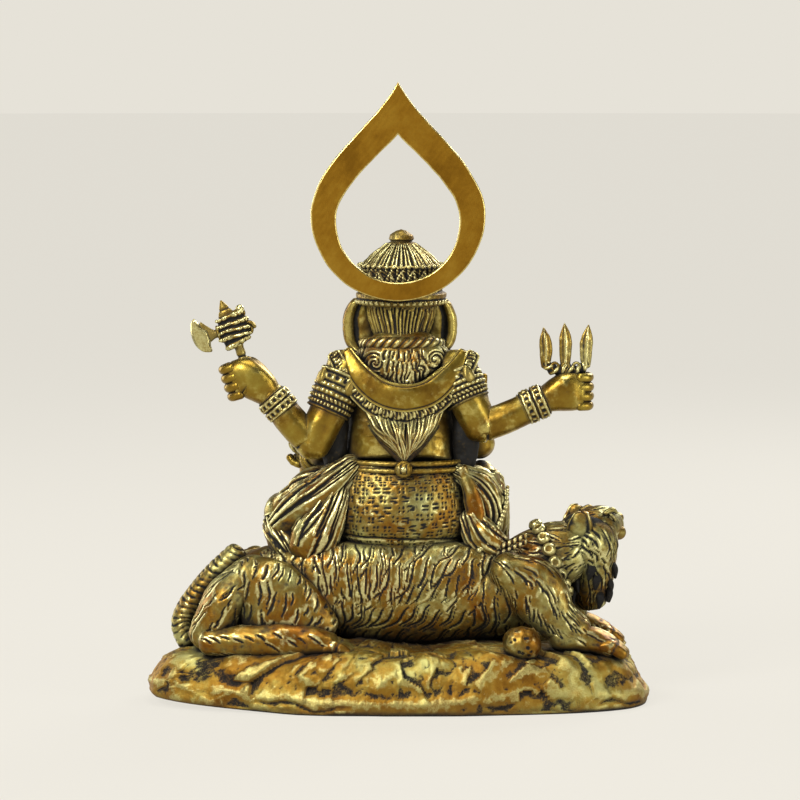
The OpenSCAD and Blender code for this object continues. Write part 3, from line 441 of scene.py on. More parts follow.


# Cast brass with a brown-black patina that was wiped off the high places, and painted shade: two
# ambient-occlusion readings darken crevices, the joins between parts and places tucked under other parts
# towards the patina colour.
# tones run from the warmest patch to the palest, patch is their size and grain the size of the casting's skin,
# in mm;
# rough is the roughness in the recesses, on the level and on the rubbed ridges; hold is how much patina stays
# on the level; cave is how far the near occlusion reaches, over which patina and painted shade darken a
# crevice.
def castBrass(name, tones, recess="#0e0a05", rub="#d9cf86", patch=20, grain=0.7, bump=0.09,
              rough=(0.82, 0.4, 0.27), hold=0.5, cave=2.6, contrast=1.5):
    material = bpy.data.materials.new(name)
    material.use_nodes = True
    tree = material.node_tree
    tree.nodes.clear()
    place = addNode(tree, "ShaderNodeTexCoord").outputs["Object"]
    wearShadeRead = addNode(tree, "ShaderNodeAttribute", attribute_name="wearAndShade").outputs["Fac"]
    wearAndShade = addNode(tree, "ShaderNodeMapRange",
                   {"Value": wearShadeRead, "From Min": 0.5 - 0.5 / contrast,
                    "From Max": 0.5 + 0.5 / contrast}).outputs[0]
    wide = addNode(tree, "ShaderNodeTexNoise",
                   {"Vector": place, "Scale": 1 / (patch * mm), "Detail": 3.0, "Roughness": 0.6,
                    "Distortion": 0.4})
    blotch = addNode(tree, "ShaderNodeTexNoise",
                     {"Vector": place, "Scale": 1 / (3.2 * mm), "Detail": 4.0, "Roughness": 0.65})
    skin = addNode(tree, "ShaderNodeTexNoise",
                   {"Vector": place, "Scale": 1 / (grain * mm), "Detail": 3.0, "Roughness": 0.6})
    mixed = addNode(tree, "ShaderNodeMath", {0: blotch.outputs["Fac"], 1: 0.38, 2: wide.outputs["Fac"]},
                    operation="MULTIPLY_ADD")
    ramp = addNode(tree, "ShaderNodeValToRGB", {"Fac": mixed.outputs[0]})
    stops = ramp.color_ramp.elements
    spots = np.linspace(0.5, 0.92, len(tones))
    while len(stops) < len(tones):
        stops.new(0.5)
    for stop, spot, tone in zip(stops, spots, tones):
        stop.position, stop.color = spot, linear(tone)
    uneven = addNode(tree, "ShaderNodeMath", {0: skin.outputs["Fac"], 1: 0.5, 2: wearAndShade},
                     operation="MULTIPLY_ADD")
    level = addNode(tree, "ShaderNodeMath", {0: blotch.outputs["Fac"], 1: 0.35, 2: uneven.outputs[0]},
                    operation="MULTIPLY_ADD")
    clean = addNode(tree, "ShaderNodeMapRange",
                    {"Value": level.outputs[0], "From Min": 0.42, "From Max": 0.42 + hold},
                    interpolation_type="SMOOTHSTEP")
    ridge = addNode(tree, "ShaderNodeMapRange",
                    {"Value": level.outputs[0], "From Min": 1.12, "From Max": 1.58},
                    interpolation_type="SMOOTHSTEP")
    # painted shade: two ambient-occlusion readings, a near one and a wide one, darken crevices, the joins
    # between parts and places tucked under other parts, adding shade to the patina in the hollows
    nearShadeOcclusion = addNode(tree, "ShaderNodeAmbientOcclusion", {"Distance": cave * mm}, samples=6)
    near = addNode(tree, "ShaderNodeMapRange",
                   {"Value": nearShadeOcclusion.outputs["AO"], "From Min": 0.4, "From Max": 0.92})
    hollow = addNode(tree, "ShaderNodeAmbientOcclusion", {"Distance": 5 * cave * mm}, samples=6)
    wideShade = addNode(tree, "ShaderNodeMapRange",
                   {"Value": hollow.outputs["AO"], "From Min": 0.2, "From Max": 0.72, "To Min": 0.25})
    openness = addNode(tree, "ShaderNodeMath", {0: near.outputs[0], 1: wideShade.outputs[0]},
                       operation="MULTIPLY")
    # how much brass colour shows through the patina and the painted shade
    shown = addNode(tree, "ShaderNodeMath", {0: clean.outputs[0], 1: openness.outputs[0]},
                    operation="MULTIPLY")
    patinaAndShade = addNode(tree, "ShaderNodeMix",
                     {"Factor": shown.outputs[0], 6: linear(recess), 7: ramp.outputs["Color"]},
                     data_type="RGBA")
    crest = addNode(tree, "ShaderNodeMath", {0: ridge.outputs[0], 1: openness.outputs[0]},
                    operation="MULTIPLY")
    colour = addNode(tree, "ShaderNodeMix",
                     {"Factor": crest.outputs[0], 6: patinaAndShade.outputs[2], 7: linear(rub)}, data_type="RGBA")
    metal = addNode(tree, "ShaderNodeMapRange", {"Value": shown.outputs[0], "To Min": 0.25, "To Max": 1.0})
    dull = addNode(tree, "ShaderNodeMapRange",
                   {"Value": shown.outputs[0], "To Min": rough[0], "To Max": rough[1]})
    bright = addNode(tree, "ShaderNodeMix", {"Factor": crest.outputs[0], 2: dull.outputs[0], 3: rough[2]},
                     data_type="FLOAT")
    dents = addNode(tree, "ShaderNodeMath", {0: blotch.outputs["Fac"], 1: 1.4, 2: skin.outputs["Fac"]},
                    operation="MULTIPLY_ADD")
    relief = addNode(tree, "ShaderNodeBump",
                     {"Height": dents.outputs[0], "Strength": 0.9, "Distance": bump * mm})
    shader = addNode(tree, "ShaderNodeBsdfPrincipled",
                     {"Base Color": colour.outputs[2], "Metallic": metal.outputs[0],
                      "Roughness": bright.outputs[0],
                      "Normal": relief.outputs["Normal"]})
    addNode(tree, "ShaderNodeOutputMaterial", {"Surface": shader.outputs[0]})
    return material


# Lost-wax cast brass, black patina left in the engraving: mottled from orange-brown to pale olive, ridges
# wiped bright
antiquedBrass = castBrass("antiquedCastBrass", ["#764c18", "#856223", "#857036", "#9a9156", "#b2ae72"],
                          recess="#060401", rub="#dad396", hold=0.58, cave=3.2, contrast=1.7)
# The same casting where hands and cloth have rubbed it smooth: more even, yellower and glossier
rubbedBrass = castBrass("rubbedCastBrass", ["#6f521c", "#866a26", "#917a30", "#9e8c3e"], recess="#060401",
                        rub="#c6b566", hold=0.56, grain=1.1, bump=0.05,
                        rough=(0.75, 0.36, 0.24), cave=3.0)
# Chased ornament: black patina and painted shade in every recess, bright on every bead and edge
chasedBrass = castBrass("chasedBrass", ["#7a5a1c", "#8a702c", "#958346", "#a4985c"], recess="#060402",
                        hold=0.74, rub="#d6cf92", rough=(0.8, 0.4, 0.25), cave=3.0)
# Sand-textured rough casting of the rocks: matte, with orange and green-yellow stains
rockBrass = castBrass("sandCastBrass", ["#6e4a18", "#8a6422", "#94732c", "#9a863f", "#ada766"], patch=24,
                      grain=0.55, bump=0.2, hold=0.3, contrast=0.9,
                      rough=(0.85, 0.52, 0.4), rub="#b5ad6c")
# Rolled plate, cut out and draw-filed: satin, even, with a thin brown lacquer
filedBrass = castBrass("filedPlateBrass", ["#7c5716", "#8f671c", "#9a7424", "#a17c2c"], patch=34, grain=0.9,
                       bump=0.03,
                       rough=(0.6, 0.42, 0.25), hold=0.3, rub="#e0cf82", cave=1.5, contrast=1.0)

# Each finish is a material and the colour slot it belongs to
antiqued = (antiquedBrass, "antiqued_brass")
rubbed = (rubbedBrass, "rubbed_brass")
chased = (chasedBrass, "bright_brass")
rough = (rockBrass, "rough_cast_brass")
filed = (filedBrass, "filed_brass")
print("materials made")

# The rock plinth

rock = {"squareness": 2.9, "spacing": 0.74, "wall": 4.5, "height": 24.0, "facet": 17.0, "tilt": 0.14,
        "crack": 0.45, "lump": 1.1}
rockLevels = [[0, 0.985], [0.12, 1], [0.4, 0.995], [0.68, 0.965], [0.9, 0.9], [1, 0.8], [1.03, 0.5],
              [1.03, 0.01]]


def rockEdge(a, w, d):  # a squarish oval, cut back at the left of its rear edge
    q = rock["squareness"]
    r = ((np.abs(np.cos(a)) / (w / 2)) ** q + (np.abs(np.sin(a)) / (d / 2)) ** q) ** (-1 / q)
    deg = np.degrees(a)
    bay = 0.985 + 0.04 * np.cos(2 * a) ** 8 - 0.09 * bell((deg + 180) % 360 - 206, 16)
    bay = bay + 0.010 * np.sin(7 * a + 0.35) + 0.008 * np.sin(4 * a)
    return r * np.minimum(bay, 1)


# Height of the rock's top: two slow waves over h, less the square of how far a place is past the middle
def rockTop(x, y, h):
    wide = np.where(x > 0, 3, 7) * (np.maximum(np.abs(x) - plinthW * 0.34, 0) / (plinthW * 0.16)) ** 2
    return h + 1.2 * np.sin(np.radians(3.1 * x + 40)) * np.cos(np.radians(2.2
            * y)) + 0.9 * np.sin(np.radians(5.3 * x - 70)) - wide


def rockFoot(x, y):  # the underside lifts off the table at the left of the rear edge
    return 3.2 * np.clip((x - 0.2 * plinthW) / (0.3 * plinthW), 0, 1) ** 1.3 * np.clip((y + 14) / 20, 0, 1)


# Rings of the outline, from the foot up the side and over the top
def rockShell(levels, w, d, h, columns, rows):
    line = curveThrough(levels, 400)
    step = np.hypot(np.gradient(line[:, 0]) * h, np.gradient(line[:, 1]) * d * 0.6)
    run = np.cumsum(step)
    at = np.linspace(run[0], run[-1], rows)
    rise, share = (np.interp(at, run, line[:, k])[:, None] for k in (0, 1))
    a = (np.arange(columns) * 2 * math.pi / columns)[None]
    r = rockEdge(a, w, d) * share
    x, y = r * np.cos(a), r * np.sin(a)
    foot = rockFoot(x, y)
    return np.stack([x, y, foot + rise * (rockTop(x, y, h) - foot)], -1)


# Split rock: every place takes the lowest of the three nearest tilted planes, with a crack where two meet
def facets(u, v, size, seed, tilt, crack):
    r = np.random.default_rng(seed)
    nu, nv = max(2, int(np.ptp(u) / size)), max(2, int(np.ptp(v) / (size * 0.7)))
    su = (np.arange(nu)[:, None] + r.uniform(0, 1, (nu, nv))) / nu * np.ptp(u) + u.min()
    sv = (np.arange(nv)[None] + r.uniform(0, 1, (nu, nv))) / nv * np.ptp(v) + v.min()
    su, sv = su.ravel(), sv.ravel()
    slope = r.uniform(-tilt, tilt, (len(su), 2))
    lift = r.uniform(-0.5, 0.5, len(su))
    openness = r.uniform(0, 1, len(su)) ** 2
    total, places = np.zeros(u.size), np.stack([u.ravel(), v.ravel()], 1)
    for part in np.array_split(np.arange(u.size), max(1, u.size // 20000)):
        du, dv = places[part, :1] - su, places[part, 1:] - sv
        d = np.hypot(du, dv)
        near = np.argpartition(d, 3, axis=1)[:, :3]
        rows = np.arange(len(part))[:, None]
        plane = lift[near] + slope[near, 0] * du[rows, near] + slope[near, 1] * dv[rows, near]
        gap = np.diff(np.sort(d[rows, near], axis=1)[:, :2], axis=1)[:, 0]
        total[part] = plane.min(1) - crack * openness[near[:, 0]] * np.clip(1 - gap / 1.1, 0, 1)
    return total.reshape(u.shape)


# The rock: an outer shell cut into facets, with cracks near its foot, and a smooth inner shell below it
def rockPlinth():
    columns = int(2.65 * (plinthW + plinthD) / 2 / rock["spacing"] * 1.35)
    outer = rockShell(rockLevels, plinthW, plinthD, rock["height"], columns, 96)
    wall = rock["wall"]
    inner = rockShell(rockLevels, plinthW - 2.6 * wall, plinthD - 3 * wall, rock["height"] - wall - 2.5,
                      columns, 40)
    around = np.cumsum(np.linalg.norm(np.roll(outer[8], -1, 0) - outer[8], axis=1))
    u = np.repeat(around[None], len(outer), 0) - around[0]
    v = np.repeat(np.cumsum(np.linalg.norm(np.diff(outer[:, columns // 4], axis=0,
            prepend=outer[:1, columns // 4]), axis=1))[:, None], columns, 1)
    lean = v + 5 * np.sin(u / 19.0) + 2.5 * np.sin(u / 7.3 + 1)
    h = facets(u + 4 * np.sin(v / 6), lean, rock["facet"], 5, rock["tilt"], rock["crack"])
    h = h + 0.3 * facets(u, lean * 1.3, 6.5, 9, 0.14, 0.6)
    lip = 0.7 * bell(v - 6.5 - 1.5 * np.sin(u / 24), 2.2) - 0.6 * bell(v - 11 - 3 * np.sin(u / 31 + 1), 3.2)
    h = h * smoothStep(v, 2.0, 9.0) + lip + rock["lump"] * valueNoise(outer, 11,
            3) + 0.36 * valueNoise(outer, 2.6, 4) + 0.14 * valueNoise(outer, 1.0, 6)
    seam = np.zeros(v.shape)
    for start, end, level, depth in ((60, 104, 3.2, 1.0), (150, 170, 4.5, 0.9), (196, 226, 2.6, 1.0),
                                     (330, 366, 4.0, 1.0), (430, 460, 3.0, 0.9)):
        line = level + 1.4 * np.sin(u / 6.5 + start) + 0.8 * np.sin(u / 2.9)
        seam = np.minimum(seam,
                          -depth * bell(v - line, 0.7) * smoothStep(u, start, start + 8)
                          * (1 - smoothStep(u, end - 8, end)))
    h = (h + seam) * smoothStep(v, 0.0, 1.6)
    top = worked({"points": outer, "spacing": rock["spacing"], "loop": False}, h, size=3.0)
    top["points"][:, 2] = np.maximum(top["points"][:, 2], 0)
    under = worked({"points": inner[::-1] - vec(0, 0, 0.02), "spacing": 1.2, "loop": False},
                   0.25 * valueNoise(inner[::-1], 2.5, 8), tone=-0.2)
    return joinRims(top, under, outer.shape, inner.shape)


# Takes the fans off the two rims at the table and joins the rims by one ring of faces, so that the shell
# closes
def joinRims(top, under, shapeA, shapeB):
    columns = shapeA[1]
    countA, countB = shapeA[0] * columns, shapeB[0] * columns
    first = np.arange(columns)
    last = (shapeB[0] - 1) * columns + np.arange(columns)
    keepTop = top["tris"][~np.any(top["tris"] == countA, axis=1)]
    keepUnder = under["tris"][~np.any(under["tris"] == countB + 1, axis=1)]
    points = np.concatenate([np.delete(top["points"], countA, 0),
                             np.delete(under["points"], countB + 1, 0)])
    wearAndShade = np.concatenate([np.delete(top["wearAndShade"], countA), np.delete(under["wearAndShade"], countB + 1)])
    keepTop = np.where(keepTop > countA, keepTop - 1, keepTop)
    shift = countA + 1
    rim = np.stack([first, np.roll(first, -1), np.roll(last, -1) + shift, last + shift], -1)
    quads = np.concatenate([top["quads"], under["quads"][:, ::-1] + shift, rim[:, ::-1]])
    tris = np.concatenate([keepTop, keepUnder[:, ::-1] + shift])
    return {"points": points, "quads": quads, "tris": tris, "wearAndShade": wearAndShade}


makePiece("rockPlinth", [rockPlinth()], rough, "statue", ["rock_plinth"])
print("plinth made")

# The beast

beast = {"trunkR": 19.0, "stroke": 0.46, "pitch": 4.3, "collarBeads": 17, "beadR": 2.8, "tailRings": 2.6}


# Rows of combed locks in pairs, on a map whose width goes round the limb and whose height goes along it
def furMap(surface, radius, rows, pitch, seed, heading, length=(10, 19), sway=30, pair=1.3, depth=0.85,
           skip=None):
    r = np.random.default_rng(seed)
    width = 2 * math.pi * radius
    v0 = surface["along"].min()
    chart = newMap(width, float(surface["along"].max() - v0) + 1, wrap=True)
    for row, share in enumerate(rows):
        for k in range(int(chart["h"].shape[0] * chart["step"] / pitch)):
            v = (k + 0.5 * (row % 2) + r.uniform(-0.25, 0.25)) * pitch
            if skip is not None and skip(share, v + v0):
                continue
            start = (share * width + r.uniform(-2, 2), v)
            way = heading(share, v + v0) + r.uniform(-10, 10)
            line = wave(start, way, r.uniform(*length), r.uniform(-14, 14), sway * r.uniform(0.5, 1.1))
            furStroke(chart, line, beast["stroke"] * r.uniform(0.8, 1.15), depth, 0.16)
            if r.uniform() < 0.4 and pair:
                off = np.array([-math.sin(math.radians(way)), math.cos(math.radians(way))]) * pair
                stroke(chart, line + off, beast["stroke"] * 0.55, -depth * 0.7)
    u = ((surface["angle"] + 90) % 360) / 360 * width
    return readMap(chart, u, surface["along"] - v0)


# Down the flank and back towards the haunch, fanning out over it; mirrored on the far side
def trunkHeading(share, v):
    lean = -34 + 26 * abs(v - 62) / 62 + 16 * math.sin(v / 17.0)
    return lean if share > 0.5 else 180 - lean


# The trunk is one thick limb and each flank a flatter one beside it, all cut with combed fur
def beastTrunk():
    s = limb([[hipX + 15, 0, trunkZ + 3, 11, 12], [hipX, 0, trunkZ + 2.5, 17, 18.5],
              [hipX - 26, 0, trunkZ + 1, 18.5, 18.5],
              [0, 0, trunkZ - 0.5, 19.5, 18.5], [shoulderX + 24, 0, trunkZ, 19.5, 18.5],
              [shoulderX, 0, trunkZ + 5, 17, 18.5],
              [shoulderX - 8, 0, trunkZ + 8, 11, 10]], spacing=0.43, domes=(0.8, 0.5))
    rows = [0.56, 0.66, 0.76, 0.86, 0.44, 0.34, 0.24, 0.14]
    h = furMap(s, beast["trunkR"], rows, beast["pitch"], 21, trunkHeading)
    parts = [worked(s, h + hammered(s, 31, 0.7, 14), size=1.5)]
    for side in (1, -1):  # the flanks rise round the seat of the rider
        path = [[50, 6, 54, 7, 7], [30, 9.3, 51, 10, 14], [2, 10.5, 49.5, 10.3, 15.5],
                [-24, 9.8, 51, 10, 14], [-42, 6, 56, 7, 7]]
        flank = limb([[x, side * y, z, a, b] for x, y, z, a, b in path], spacing=0.45, domes=(0.9, 0.9),
                     square=2.3)
        h = furMap(flank, 12, rows[:3] if side > 0 else rows[4:7], 4.2, 22 + side, trunkHeading,
                   length=(10, 18))
        parts.append(worked(flank, h + hammered(flank, 33 + side, 0.6, 9), size=1.5))
    for part in parts:  # the beast is darker towards the bottom, under the belly
        part["wearAndShade"] -= 0.22 * (1 - smoothStep(part["points"][:, 2], groundZ + 3, groundZ + 22))
    return parts


# A row of rounded toes, each with a small claw, that point along heading
def pawToes(centre, heading, width, count=4, size=3.0, length=7.0):
    heading = unit(np.asarray(heading, float))
    side = unit(np.cross(up3, heading))
    parts = []
    for k in range(count):
        off = (k - (count - 1) / 2) * width / count
        base = np.asarray(centre, float) + side * off
        tip = base + heading * length * (1 - 0.12 * abs(k - (count - 1) / 2))
        s = limb([[*(base - heading * 4), size * 0.8, size * 0.8], [*(base + up3 * 0.9), size, size * 1.05],
                  [*(tip - up3 * 0.8), size * 0.85, size * 0.8]], spacing=0.5, hint=(0, 0.02, 1))
        crease = -0.35 * bell(s["along"] - s["length"] * 0.55, 0.8)
        parts.append(worked(s, crease + 0.12 * valueNoise(s["points"], 1.5, 40 + k), tone=0.05))
        claw = limb([[*(tip - up3 * 1.2), 1.0, 1.0], [*(tip + heading * 2.2 - up3 * 1.9), 0.5, 0.6]],
                    spacing=0.4, hint=(0, 0.02, 1))
        parts.append(worked(claw, 0, tone=0.2))
    return parts


# Thigh, rump and shank are limbs with combed fur, and the paw is a row of toes
def hindLeg(side):
    thigh = limb([[hipX + 12, side * 12, trunkZ + 8, 8, 12], [hipX + 2, side * 17, trunkZ + 1, 8, 17],
                  [hipX - 12, side * 19, trunkZ - 6, 7, 12], [hipX - 20, side * 19, groundZ + 9, 5, 7]],
                 spacing=0.5)
    h = furMap(thigh, 12, [0.08, 0.2, 0.32, 0.44, 0.56, 0.68, 0.8, 0.92], 3.3, 51 + side, lambda a,
               v: (30 if a > 0.5 else 150) - 0.9 * v,
               length=(4, 9), sway=16, pair=0)
    thighPart = worked(thigh, h + hammered(thigh, 52 + side, 0.7, 9), size=1.5)
    rump = upright([[hipX + 8, side * 8, trunkZ + 9, 9, 9], [hipX + 17, side * 12, trunkZ + 3, 9, 11],
                    [hipX + 23, side * 14, trunkZ - 7, 9, 10],
                    [hipX + 27, side * 16, groundZ + 6, 8, 7]], 0.5)
    h = furMap(rump, 9, np.arange(8) / 8, 4.2, 55 + side, lambda a, v: 80 + 24 * math.sin(6.3 * a),
               length=(6, 12), pair=0)
    rumpPart = worked(rump, h + hammered(rump, 56 + side, 0.7, 9), size=1.5)
    shank = limb([[hipX + 26, side * 22, groundZ + 5, 5, 5], [hipX + 6, side * 24, groundZ + 6, 6, 6.5],
                  [hipX - 12, side * 25, groundZ + 6, 6.5, 6.5],
                  [hipX - 22, side * 25, groundZ + 4.5, 7, 5]], spacing=0.5)
    h = furMap(shank, 6, [0.1, 0.3, 0.5, 0.7, 0.9], 4.2, 61 + side, lambda a, v: 55 if a > 0.5 else 125,
               length=(3.5, 7), sway=10, pair=0)
    shankPart = worked(shank, h + hammered(shank, 62 + side, 0.5, 8), size=1.5)
    return [thighPart, rumpPart, shankPart] + pawToes([hipX - 25, side * 25.5, groundZ + 3.6],
            (-1, side * 0.12, -0.06), 13, size=2.6, length=5.5)


# Upper and lower limb with combed fur, and a row of toes at the paw
def foreleg(side):
    upper = upright([[shoulderX + 8, side * 13, trunkZ + 12, 8, 10],
                     [shoulderX - 3, side * 16, trunkZ + 5, 12, 8],
                     [shoulderX - 12, side * 18, trunkZ - 6, 9, 7],
                     [shoulderX - 20, side * 18, groundZ + 9, 7, 7]], 0.5)
    h = furMap(upper, 8.5, [0.05, 0.18, 0.31, 0.44, 0.57, 0.7, 0.83, 0.96], 2.9, 71 + side, lambda a,
               v: 62 + 30 * math.sin(6.3 * a), length=(4, 9), sway=14)
    upperPart = worked(upper, h + hammered(upper, 72 + side, 0.6, 8), size=1.5)
    lower = limb([[shoulderX - 14, side * 18, groundZ + 7, 7, 6.5],
                  [shoulderX - 26, side * 18, groundZ + 5.5, 7, 5.5],
                  [shoulderX - 33, side * 18, groundZ + 3, 7.2, 4.5]], spacing=0.5)
    h = furMap(lower, 6.5, [0.1, 0.3, 0.5, 0.7, 0.9], 3.4, 81 + side, lambda a, v: 60 if a > 0.5 else 120,
               length=(3, 6), sway=12, pair=0)
    lowerPart = worked(lower, h + hammered(lower, 82 + side, 0.5, 7), size=1.5)
    return [upperPart, lowerPart] + pawToes([shoulderX - 34, side * 18, groundZ + 2.6],
            (-1, side * 0.05, -0.28), 14, size=2.7, length=6)


# A limb cut with rings: a groove wherever the cosine of the run over the ring pitch is near 1
def beastTail():
    s = upright([[hipX + 16, 1, trunkZ + 17, 4.6, 4.6], [hipX + 27, 2, trunkZ + 6, 4.6, 4.6],
                 [hipX + 37, 3, trunkZ - 8, 4.4, 4.4],
                 [hipX + 36, 6, groundZ + 3, 3.5, 3.5]], 0.45)
    v = s["along"] + 0.9 * np.sin(angleOf(s) * 2) + 0.6 * valueNoise(s["points"], 4, 91)
    ring = -0.5 * (np.cos(2 * math.pi * v / beast["tailRings"]) > 0.78) * (0.4
            + 0.6 * (valueNoise(s["points"], 3, 92) > -0.2))
    return worked(s, blurred(ring, 1, 1) + hammered(s, 93, 0.4, 6), size=1.3)


# A thick limb up to the skull, cut with fur all round
def beastNeck():
    base, top = vec(shoulderX - 1, 0, trunkZ + 11), vec(shoulderX - 15, -1, trunkZ + 17.5)
    skull = top + vec(-8, -2, 5)
    s = limb([[shoulderX + 10, 0, trunkZ + 9, 13, 12], [*base, 14, 14], [*top, 13, 13], [*skull, 9, 9]],
             spacing=0.5)
    h = furMap(s, 13, np.arange(12) / 12, 3.0, 101, lambda a, v: 75 + 30 * math.sin(9 * a), length=(5, 9),
               sway=20, depth=0.75)
    return worked(s, h + hammered(s, 102, 0.7, 7), size=1.5)


# Jowl and muzzle are furred limbs; nose, brows, eyes and pads are small forms set on them, then the mane
def beastHead():
    skull = vec(shoulderX - 24, -3, trunkZ + 22.5)
    jowl = upright([[*(skull + vec(4, 1, 3)), 8.4, 8.4], [*(skull + vec(-1, 0, -1)), 11.5, 12],
                    [*(skull + vec(-3, -1, -13)), 9.6, 10],
                    [*(skull + vec(-3, -2, -24)), 6.6, 6.6]], 0.5)
    h = furMap(jowl, 10, np.arange(10) / 10, 3.1, 111, lambda a, v: 88 + 24 * math.sin(12 * a + v / 6),
               length=(6, 11), sway=24, depth=0.85)
    cheek = 1.1 * bell(jowl["along"] - 7, 5)
    # the jowl's darker tone is painted shade on the underside of the head
    parts = [worked(jowl, h + cheek + hammered(jowl, 112, 0.6, 6), size=1.6, tone=-0.12)]
    muzzle = limb([[*(skull + vec(-1, -1, 2)), 10.1, 9.6], [*(skull + vec(-7, -5, 4)), 8.4, 9.2],
                   [*(skull + vec(-10.5, -9, 4.5)), 6.2, 7.2]], spacing=0.45)
    lips = -0.9 * bell(np.abs(((muzzle["angle"] + 90) % 360) - 180) - 118, 9) * smoothStep(muzzle["along"],
            4, 9)
    fur = furMap(muzzle, 8.5, np.arange(9) / 9, 3.0, 113, lambda a, v: 70 + 30 * math.sin(12 * a),
                 length=(3, 6), sway=20, depth=0.5)
    parts.append(worked(muzzle, lips + fur * (1 - smoothStep(muzzle["along"], 6, 11))
                        + hammered(muzzle, 114, 0.4, 5), size=1.5))
    nose = skull + vec(-13.8, -12.2, 7.2)
    parts.append(worked(limb([[*(nose + vec(1.4, 2.6, 0)), 2.6, 2.2], [*nose, 3.1, 2.4]], spacing=0.4), 0,
                        tone=0.1))
    for k in (-1, 1):  # nostrils' rims, brow, eye and the whisker pads
        parts.append(beads([nose + vec(-0.6, -0.6 + 0.2 * k, -0.6) + vec(-k * 1.1, k * 0.9, 0)], [0.9],
                           wearAndShade=0.15))
        pad = skull + vec(-11, -9, 2.0) + vec(-k * 3.4, k * 3.0, 0)
        parts.append(worked(limb([[*(pad + vec(2, 2, 0.4)), 2.8, 2.6], [*pad, 3.2, 3.0]], spacing=0.4), 0,
                            tone=0.05))
        eye = skull + vec(-6.4, -4.4, 9.6) + vec(-k * 4.4, k * 4.6, -0.6)
        parts.append(worked(torus(eye, 2.1, 1.7, 0.6, axis=(-0.6, -0.45, 0.6)), 0, tone=0.2))
        parts.append(beads([eye], [1.5], wearAndShade=0.75))
        brow = limb([[*(eye + vec(2.6, 1.2 + k, 1.9)), 1.0, 0.8], [*(eye + vec(-0.4, -0.4, 2.9)), 1.4, 1.1],
                     [*(eye + vec(-2.2, -1.8, 1.6)), 0.8, 0.7]], spacing=0.4)
        parts.append(worked(brow, 0, tone=0.15))
    r = np.random.default_rng(115)
    for k in range(30):  # locks of the mane under the jaw and round the cheeks; the low ones are toned darker as painted shade under the head
        a = r.uniform(0.1, 2 * math.pi)
        z = r.uniform(-22, 4)
        rad = np.interp(z, [-24, -13, 0, 5], [5.6, 8.8, 11.0, 9.0])
        root = skull + vec(-2.4 + rad * math.cos(a), -1 + rad * math.sin(a), z)
        out = vec(math.cos(a), math.sin(a), 0)
        curl = vec(-math.sin(a), math.cos(a), 0) * r.uniform(-2.5, 2.5)
        lock = limb([[*root, 1.5, 1.1], [*(root + out * 1.3 + curl * 0.4 - up3 * 3), 1.7, 1.2],
                     [*(root + out * 0.8 + curl - up3 * 6.5), 0.7, 0.6]], spacing=0.5, hint=tuple(out))
        parts.append(worked(lock, -0.3 * (np.cos(angleOf(lock) * 4) > 0.3), tone=-0.45 if z < -6
                            else -0.15))
    return parts


# A flat limb: hollowed by a bell curve round its front, with a raised rim at its two edges
def beastEar(side):
    skull = vec(shoulderX - 24, -3, trunkZ + 22.5)
    s = upright([[*(skull + vec(3, side * 8, 3)), 4.5, 2.2], [*(skull + vec(2.5, side * 10, 7)), 5, 1.9],
                 [*(skull + vec(2, side * 10.5, 11.5)), 3, 1.4]], 0.4)
    hollow = -0.9 * bell(((s["angle"] + 90) % 360) - (90 if side > 0 else 270), 50)
    rim = 0.5 * (np.abs(np.cos(angleOf(s))) > 0.85)
    return worked(s, blurred(hollow + rim, 1, 1) + hammered(s, 121, 0.3, 4), size=1.4)


# A twisted cord with drilled beads set evenly round the circle across the neck
def beastCollar():
    base, top = vec(shoulderX - 1, 0, trunkZ + 11), vec(shoulderX - 15, -1, trunkZ + 17.5)
    axis = unit(top - base)
    centre = base * 0.3 + top * 0.7 - vec(0, 0, 0.5)
    east = unit(np.cross(axis, vec(0.13, 1, 0.05)))
    north = np.cross(axis, east)
    a = np.arange(beast["collarBeads"]) * 2 * math.pi / beast["collarBeads"]
    ring = centre + 15.2 * (np.cos(a)[:, None] * east + np.sin(a)[:, None] * north)
    parts = [worked(torus(centre, 14.4, 14.4, 1.2, axis=axis, lobes=2, twist=60, depth=0.3), 0)]
    for spot in ring:  # each bead has a drilled hole that faces outwards
        out = unit(spot - centre)
        big = beast["beadR"]
        s = limb([[*(spot - out * 0.7 * big), 0.6 * big, 0.6 * big], [*spot, big, big],
                  [*(spot + out * 0.7 * big), 0.6 * big, 0.6 * big]],
                 hint=tuple(axis), spacing=0.4, domes=(0.3, 0.2))
        parts.append(worked(s, -0.9 * smoothStep(s["along"], s["length"] - 0.1, s["length"] + 0.35),
                            tone=0.2))
    return parts


# A ball pitted at random spots: each pit falls off with the square of the distance from its middle
def looseStone():
    centre = vec(shoulderX + 2, plinthD * 0.33, groundZ + 5.6)
    s = limb([[*(centre - vec(2, 0, 0)), 6.6, 6.6], [*centre, 7, 7], [*(centre + vec(2, 0, 0)), 6.6, 6.6]],
             spacing=0.5, domes=(0.85, 0.85))
    pits = np.zeros(s["points"].shape[:2])
    for spot in np.random.default_rng(131).normal(size=(60, 3)):
        d = np.linalg.norm(s["points"] - (centre + 7 * unit(spot)), axis=-1)
        pits = np.minimum(pits, -0.5 * np.clip(1 - (d / 0.85) ** 2, 0, 1))
    return worked(s, pits + hammered(s, 132, 0.5, 5), size=1.3)


